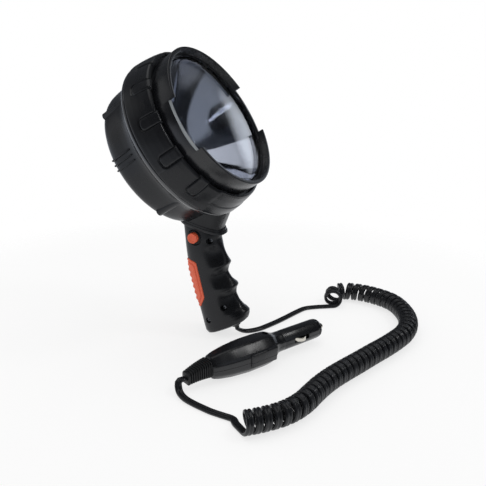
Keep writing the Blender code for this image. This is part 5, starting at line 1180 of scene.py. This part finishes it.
def plug_ring(place, half_width, half_height, roundness, round_radius):
    """Section of the plug: eight flats with rounded corners, drawn towards a circle."""
    flats = [(1.0, 0.36), (0.40, 1.0), (-0.40, 1.0), (-1.0, 0.36),
             (-1.0, -0.52), (-0.62, -1.0), (0.62, -1.0), (1.0, -0.52)]
    corners = [Vector((y * half_width, z * half_height)) for y, z in flats]
    ring = []
    for k, corner in enumerate(corners):
        before = corner.lerp(corners[k - 1], 0.20)
        after = corner.lerp(corners[(k + 1) % 8], 0.20)
        for t in (0.0, 0.25, 0.5, 0.75, 1.0):
            point = eased_corner(before, corner, after, t)
            angle = math.atan2(point.y, point.x)
            circle = Vector((math.cos(angle), math.sin(angle))) * round_radius
            ring.append(Vector((place, *point.lerp(circle, roundness))))
    return ring


def plug_shape(plug):
    """The plug's body and barrel in one, before it is split."""
    shares, wide, tall = zip(*PLUG_ROWS)
    radius, barrel_start, taper_start = plug.barrel_radius, 0.628 * plug.length, 0.0715
    rings = []
    for place in [*np.linspace(0.0, 0.004, 4), *np.linspace(0.006, barrel_start, 46)]:
        steps = (0,) if place < 0.005 else (-0.02, -0.01, 0, 0.01, 0.02)
        half_width, half_height = (even_out(place / plug.length, shares, column, steps)
                                   for column in (wide, tall))
        roundness = soft_step((place - taper_start) / (barrel_start - taper_start))
        rings.append(plug_ring(place, half_width * plug.half_width, half_height * plug.half_height,
                               roundness, radius))
    for place, share in ((0.0875, 1.0), (0.0880, 0.985), (0.0888, 0.985), (0.0893, 1.0),
                         (0.1100, 0.998), (0.1350, 0.990), (0.1366, 0.975), (0.1370, 0.950)):
        rings.append(plug_ring(place, radius, radius, 1.0, radius * share))
    return skin_rings(rings)


class SEARCHLIGHT_OT_plug(bpy.types.Operator):
    """Lofts the plug's body and splits it along its seam"""
    bl_idname = "searchlight.plug"
    bl_label = "Plug shells"

    def execute(self, context):
        plug = context.scene.searchlight_plug
        pads = []
        for side in (-1, 1):
            near, far = sorted((side * 0.0192, side * 0.0100))
            pad = block((0.0370, near, -0.0070), (0.0712, far, 0.0070))
            for vert in pad.verts:
                if abs(vert.co.y) > 0.015 and vert.co.x < 0.04:
                    vert.co.x += 0.0020
                if vert.co.z < 0 and vert.co.x > 0.06:
                    vert.co.x -= 0.0018
            pads.append(ease(pad, 0.0011, 3))
        body = cut(cut(plug_shape(plug), gather(pads), operation="UNION"),
                   rod((PLUG_SCREW, 0, 0.0090), (PLUG_SCREW, 0, 0.0200), HEAD_HOLE),
                   rod((PLUG_SCREW, 0, -0.0091), (PLUG_SCREW, 0, 0.0093), SCREW_HOLE, 20),
                   rod((0.0947, 0, 0), (0.1410, 0, 0), 0.0070, 48),
                   block((0.1013, -0.0150, -0.0026), (0.1214, 0.0150, 0.0026)),
                   block((-0.0040, -0.0047, -0.0047), (0.0100, 0.0047, 0.0047)))
        split_piece(body, PLUG, "gloss_black", (
            ("upper_plug_shell", "plug_upper_shell", (-0.02, -0.03, -0.03),
             (0.16, 0.03, PLUG_SEAM + HALF_GAP)),
            ("lower_plug_shell", "plug_lower_shell", (-0.02, -0.03, PLUG_SEAM - HALF_GAP),
             (0.16, 0.03, 0.03))))
        return {"FINISHED"}


class SEARCHLIGHT_OT_contacts(bpy.types.Operator):
    """Makes the plug's side contacts, its tip ring and its pin"""
    bl_idname = "searchlight.contacts"
    bl_label = "Plug contacts"

    def execute(self, context):
        plug = context.scene.searchlight_plug
        start, end = 0.745 * plug.length, 0.880 * plug.length
        root, reach, half, thickness = 0.0062, plug.barrel_radius + 0.00215, 0.0022, 0.0006
        for name, node, body, side in (("left_leaf", "plug_contact_left", "contact_left", 1),
                                       ("right_leaf", "plug_contact_right", "contact_right", -1)):
            line = [(start - 0.0060, root), (start - 0.0030, root)]
            line += [(start + (end - start) * share,
                      root + (reach - root) * math.sin(math.pi * share))
                     for share in np.linspace(0.0, 1.0, 25)]
            rings = [[Vector((place, side * y, z)) for y, z in (
                (out, -half), (out, half), (out - thickness, half), (out - thickness, -half))]
                for place, out in line]
            leaf = ease(skin_rings(rings), 0.00012, 2, math.radians(60))
            finish_piece(leaf, PLUG, "nickel", name, node, body=body)
        front, rim = plug.length + 0.0003, plug.barrel_radius - 0.00045
        depth, bore = 0.0042, 0.0036
        rows = ((0.0008, 0.0), (0.0014, 0.0001), (0.0024, 0.0004), (0.0034, 0.0010),
                (depth, 0.0022))
        outline = [(front + ahead, rim - fall) for ahead, fall in rows]
        outline = [(front, bore), (front, rim)] + outline + [(front + depth, bore)]
        tip = turn_outline(outline, 144)

        def notch(x, radius, angle):
            turn = math.degrees(angle) % 30.0
            if 11.0 < turn < 19.0 and radius > rim - 0.0015 and x > front + 0.0004:
                radius -= 0.0006
            return x, radius, angle

        polar(tip, notch)
        finish_piece(tip, PLUG, "gloss_black", "notched_tip_ring", "plug_tip_ring")
        nose, stem, flange = front + depth + 0.0080, 0.0033, 0.0064
        pin = [(plug.length - 0.0022, 0.0), (plug.length - 0.0022, flange), (plug.length, flange),
               (plug.length, stem)]
        pin += [(nose - stem + stem * math.sin(a), stem * math.cos(a))
                for a in np.linspace(0.0, 1.45, 10)]
        pin.append((nose, 0.0))
        finish_piece(turn_outline(pin, 48, False), PLUG, "nickel", "round_nosed_pin", "plug_pin",
                     body="pin")
        return {"FINISHED"}


def boot_ring(along, half, length):
    """A rounded square section of the boot, dropping with the cord."""
    drop = BOOT_DROP * (max(-along, 0.0) / length) ** 2
    return section(40, 0.36, lambda c, s: Vector((along, c * half, s * half + drop)))


class SEARCHLIGHT_OT_boot(bpy.types.Operator):
    """Lofts the ribbed boot behind the plug"""
    bl_idname = "searchlight.boot"
    bl_label = "Ribbed boot"

    def execute(self, context):
        plug = context.scene.searchlight_plug
        length, count = plug.boot_length, plug.boot_ribs
        pitch = (length - 0.0003) / count
        rings = [boot_ring(along, half, length)
                 for along, half in ((0.0050, 0.0040), (0.0046, 0.0044), (-0.0003, 0.0044))]
        for k in range(count):
            start = -0.0003 - k * pitch
            steps = [(0.02, 0.0004), (0.12, 0.0)]
            if k == count - 1:
                steps += [(0.86, 0.0), (1.0, 0.0004)]
            else:
                steps += [(0.52, 0.0), (0.62, 0.0004), (0.66, 0.0013), (0.94, 0.0013)]
            for step, groove in steps:
                along = start - pitch * step
                taper = 1 - 0.32 * (-along / length)
                rings.append(boot_ring(along, 0.0084 * taper - groove, length))
        finish_piece(skin_rings(rings), PLUG, "black_rubber", "ribbed_boot", "plug_boot")
        return {"FINISHED"}


class SEARCHLIGHT_OT_inner_parts(bpy.types.Operator):
    """Gives the parts inside the head, the handle and the plug their finishes"""
    bl_idname = "searchlight.inner_parts"
    bl_label = "Inner parts"

    def execute(self, context):
        slots = {part["node"]: part["material_slot"] for part in frame["record"]["subparts"]}
        for name in ("bulb_clip", "hot_wire", "earth_wire", "button_spring", "switch_body",
                     "pin_spring", "plug_fuse"):
            for place in frame["nodes"][name].material_slots:
                place.material = finish_for(slots[name])
        return {"FINISHED"}


# Stage

class SEARCHLIGHT_OT_camera(bpy.types.Operator):
    """Sets the camera where the photograph was taken from"""
    bl_idname = "searchlight.camera"
    bl_label = "Camera"

    def execute(self, context):
        stage = context.scene.searchlight_stage
        lens = bpy.data.cameras.new("camera")
        lens.lens = stage.lens
        lens.sensor_width = 36.0
        camera = bpy.data.objects.new("camera", lens)
        view = Vector((-0.389, 0.871, -0.300)).normalized()
        camera.rotation_euler = view.to_track_quat("-Z", "Y").to_euler()
        camera.location = (0.2898, -0.5638, 0.2393)
        context.scene.collection.objects.link(camera)
        context.scene.camera = camera
        return {"FINISHED"}


def add_light(name, place, target, size, power):
    """A square soft light aimed at a point."""
    data = bpy.data.lights.new(name, "AREA")
    data.energy = power
    data.size = size
    light = bpy.data.objects.new(name, data)
    light.location = place
    light.rotation_euler = (Vector(target) - Vector(place)).to_track_quat("-Z", "Y").to_euler()
    bpy.context.scene.collection.objects.link(light)


def floor_finish(colours):
    """Pale matt card, shown nearly white, that fades into the surround away from the lamp."""
    material, tree, shader, place = new_finish("matt white card", tuple(colours.floor),
                                               Roughness=0.9, Specular_IOR_Level=0.0)
    grain(tree, shader, place, 1.0, 0.01, 0.1)
    length = add_node(tree, "ShaderNodeVectorMath", {}, {0: place}, operation="LENGTH")
    fade = add_node(tree, "ShaderNodeMapRange", {"From Min": 0.34, "From Max": 0.62},
                    {"Value": length.outputs["Value"]}, interpolation_type="SMOOTHSTEP")
    clear = add_node(tree, "ShaderNodeBsdfTransparent")
    white = add_node(tree, "ShaderNodeEmission", {"Color": (1.0, 1.0, 1.0, 1.0), "Strength": 1.0})
    path = add_node(tree, "ShaderNodeLightPath")
    seen = add_node(tree, "ShaderNodeMath", {1: 0.0}, {0: path.outputs["Is Diffuse Ray"]},
                    operation="GREATER_THAN")
    share = add_node(tree, "ShaderNodeMix", {"A": 0.72, "B": 0.0},
                     {"Factor": seen.outputs["Value"]})
    shown = add_node(tree, "ShaderNodeMixShader", {},
                     {0: share.outputs["Result"], 1: shader.outputs["BSDF"],
                      2: white.outputs["Emission"]})
    mix = add_node(tree, "ShaderNodeMixShader", {},
                   {0: fade.outputs["Result"], 1: shown.outputs["Shader"],
                    2: clear.outputs["BSDF"]})
    tree.links.new(mix.outputs["Shader"], tree.nodes["Material Output"].inputs["Surface"])
    return material


def light_surround(scene, strength):
    """Surround that is white where it is seen, soft as a light, and dark above for reflections."""
    world = bpy.data.worlds.new("studio")
    world.use_nodes = True
    scene.world = world
    tree = world.node_tree
    shown = tree.nodes["Background"]
    way = add_node(tree, "ShaderNodeTexCoord").outputs["Generated"]
    ways = dict(add_node(tree, "ShaderNodeSeparateXYZ", {}, {"Vector": way}).outputs.items())
    for name, toward in (("near", (0.50, -0.80, 0.33)), ("beyond", (0.16, 0.98, 0.06))):
        ways[name] = add_node(tree, "ShaderNodeVectorMath", {1: toward}, {0: way},
                              operation="DOT_PRODUCT").outputs["Value"]
    # What rises or falls, along which way, from where to where and from what to what
    level = {}
    for name, along, start, end, before, after in (
            ("low", "Z", -0.15, 0.15, 1.0, 0.10), ("shade", "near", 0.25, 0.85, 1.0, 0.30),
            ("right", "X", 0.55, 0.80, 0.0, 1.0), ("ahead", "X", 0.25, 0.40, 0.0, 1.0),
            ("high", "Z", 0.02, 0.12, 0.0, 1.0), ("far_flag", "Y", 0.02, 0.14, 1.0, 0.06),
            ("near_flag", "Y", -0.47, -0.43, 0.10, 1.0),
            ("window", "beyond", 0.945, 0.985, 0.0, 1.3)):
        level[name] = add_node(
            tree, "ShaderNodeMapRange",
            {"From Min": start, "From Max": end, "To Min": before, "To Max": after},
            {"Value": ways[along]}, interpolation_type="SMOOTHSTEP").outputs["Result"]
    dark, above = (add_node(tree, "ShaderNodeMath", {}, {0: level[one], 1: level[other]},
                            operation="MULTIPLY")
                   for one, other in (("low", "shade"), ("ahead", "high")))
    room = add_node(tree, "ShaderNodeMix", {"B": 0.40},
                    {"Factor": level["right"], "A": dark.outputs["Value"]})
    room = room.outputs["Result"]
    for flag, reach in (("far_flag", level["ahead"]), ("near_flag", above.outputs["Value"])):
        gate = add_node(tree, "ShaderNodeMix", {"A": 1.0}, {"Factor": reach, "B": level[flag]})
        room = add_node(tree, "ShaderNodeMath", {}, {0: room, 1: gate.outputs["Result"]},
                        operation="MULTIPLY").outputs["Value"]
    room = add_node(tree, "ShaderNodeMath", {}, {0: room, 1: level["window"]}, operation="MAXIMUM")
    path = add_node(tree, "ShaderNodeLightPath")
    mirrored = add_node(tree, "ShaderNodeMath", {1: 0.5}, {0: path.outputs["Glossy Depth"]},
                        operation="GREATER_THAN")
    seen = add_node(tree, "ShaderNodeMix", {"A": 1.0},
                    {"Factor": mirrored.outputs["Value"], "B": room.outputs["Value"]})
    lit = add_node(tree, "ShaderNodeMix", {"B": strength},
                   {"Factor": path.outputs["Is Diffuse Ray"], "A": seen.outputs["Result"]})
    cool = add_node(tree, "ShaderNodeMix", {"A": (1.0, 1.0, 1.0, 1.0), "B": (0.84, 0.90, 1.0, 1.0)},
                    {"Factor": mirrored.outputs["Value"]}, data_type="RGBA")
    tree.links.new(lit.outputs["Result"], shown.inputs["Strength"])
    tree.links.new(cool.outputs["Result"], shown.inputs["Color"])


class SEARCHLIGHT_OT_stage(bpy.types.Operator):
    """Sets the floor, the soft lights and the white surround"""
    bl_idname = "searchlight.stage"
    bl_label = "Stage"

    def execute(self, context):
        scene = context.scene
        stage = scene.searchlight_stage
        scene.view_settings.view_transform = "Standard"
        shape = bmesh.new()
        bmesh.ops.create_grid(shape, x_segments=1, y_segments=1, size=1.2)
        bmesh.ops.translate(shape, vec=(0.05, 0.0, GROUND - 0.0001), verts=shape.verts)
        mesh = bpy.data.meshes.new("floor")
        shape.to_mesh(mesh)
        shape.free()
        mesh.materials.append(floor_finish(scene.searchlight_colours))
        floor = bpy.data.objects.new("floor", mesh)
        scene.collection.objects.link(floor)
        add_light("over_light", (-0.10, 0.05, 1.10), (0.05, 0.0, 0.05), 0.9, stage.key)
        add_light("left_light", (-0.90, -0.35, 0.45), (0.0, 0.0, 0.10), 0.7, stage.left)
        add_light("right_light", (0.80, 0.25, 0.95), (0.05, 0.0, 0.0), 0.20, stage.right)
        light_surround(scene, stage.surround)
        return {"FINISHED"}


OPERATORS = (
    SEARCHLIGHT_OT_camera, SEARCHLIGHT_OT_stage, SEARCHLIGHT_OT_hood,
    SEARCHLIGHT_OT_lens, SEARCHLIGHT_OT_reflector, SEARCHLIGHT_OT_bulb, SEARCHLIGHT_OT_band,
    SEARCHLIGHT_OT_shell, SEARCHLIGHT_OT_collar, SEARCHLIGHT_OT_handle, SEARCHLIGHT_OT_insert,
    SEARCHLIGHT_OT_button, SEARCHLIGHT_OT_screws, SEARCHLIGHT_OT_bush, SEARCHLIGHT_OT_plug,
    SEARCHLIGHT_OT_contacts, SEARCHLIGHT_OT_boot, SEARCHLIGHT_OT_cord, SEARCHLIGHT_OT_inner_parts,
)


class SEARCHLIGHT_PT_panel(bpy.types.Panel):
    """Lists the sizes, the colours and the pieces"""
    bl_idname = "SEARCHLIGHT_PT_panel"
    bl_label = "Searchlight"
    bl_space_type = "VIEW_3D"
    bl_region_type = "UI"
    bl_category = "Searchlight"

    def draw(self, context):
        for name, group in SETTINGS.items():
            box = self.layout.box()
            for entry in group.__annotations__:
                box.prop(getattr(context.scene, name), entry)
        for operator in OPERATORS:
            self.layout.operator(operator.bl_idname)


SETTINGS = {
    "searchlight_head": HeadSettings, "searchlight_handle": HandleSettings,
    "searchlight_plug": PlugSettings, "searchlight_cord": CordSettings,
    "searchlight_colours": ColourSettings, "searchlight_stage": StageSettings,
}


def register():
    for name, group in SETTINGS.items():
        bpy.utils.register_class(group)
        setattr(bpy.types.Scene, name, PointerProperty(type=group))
    for operator in OPERATORS:
        bpy.utils.register_class(operator)
    bpy.utils.register_class(SEARCHLIGHT_PT_panel)


def unregister():
    bpy.utils.unregister_class(SEARCHLIGHT_PT_panel)
    for operator in reversed(OPERATORS):
        bpy.utils.unregister_class(operator)
    for name, group in SETTINGS.items():
        delattr(bpy.types.Scene, name)
        bpy.utils.unregister_class(group)


def main():
    register()
    for operator in OPERATORS:
        getattr(bpy.ops.searchlight, operator.bl_idname.split(".")[1])()


if __name__ == "__main__":
    main()
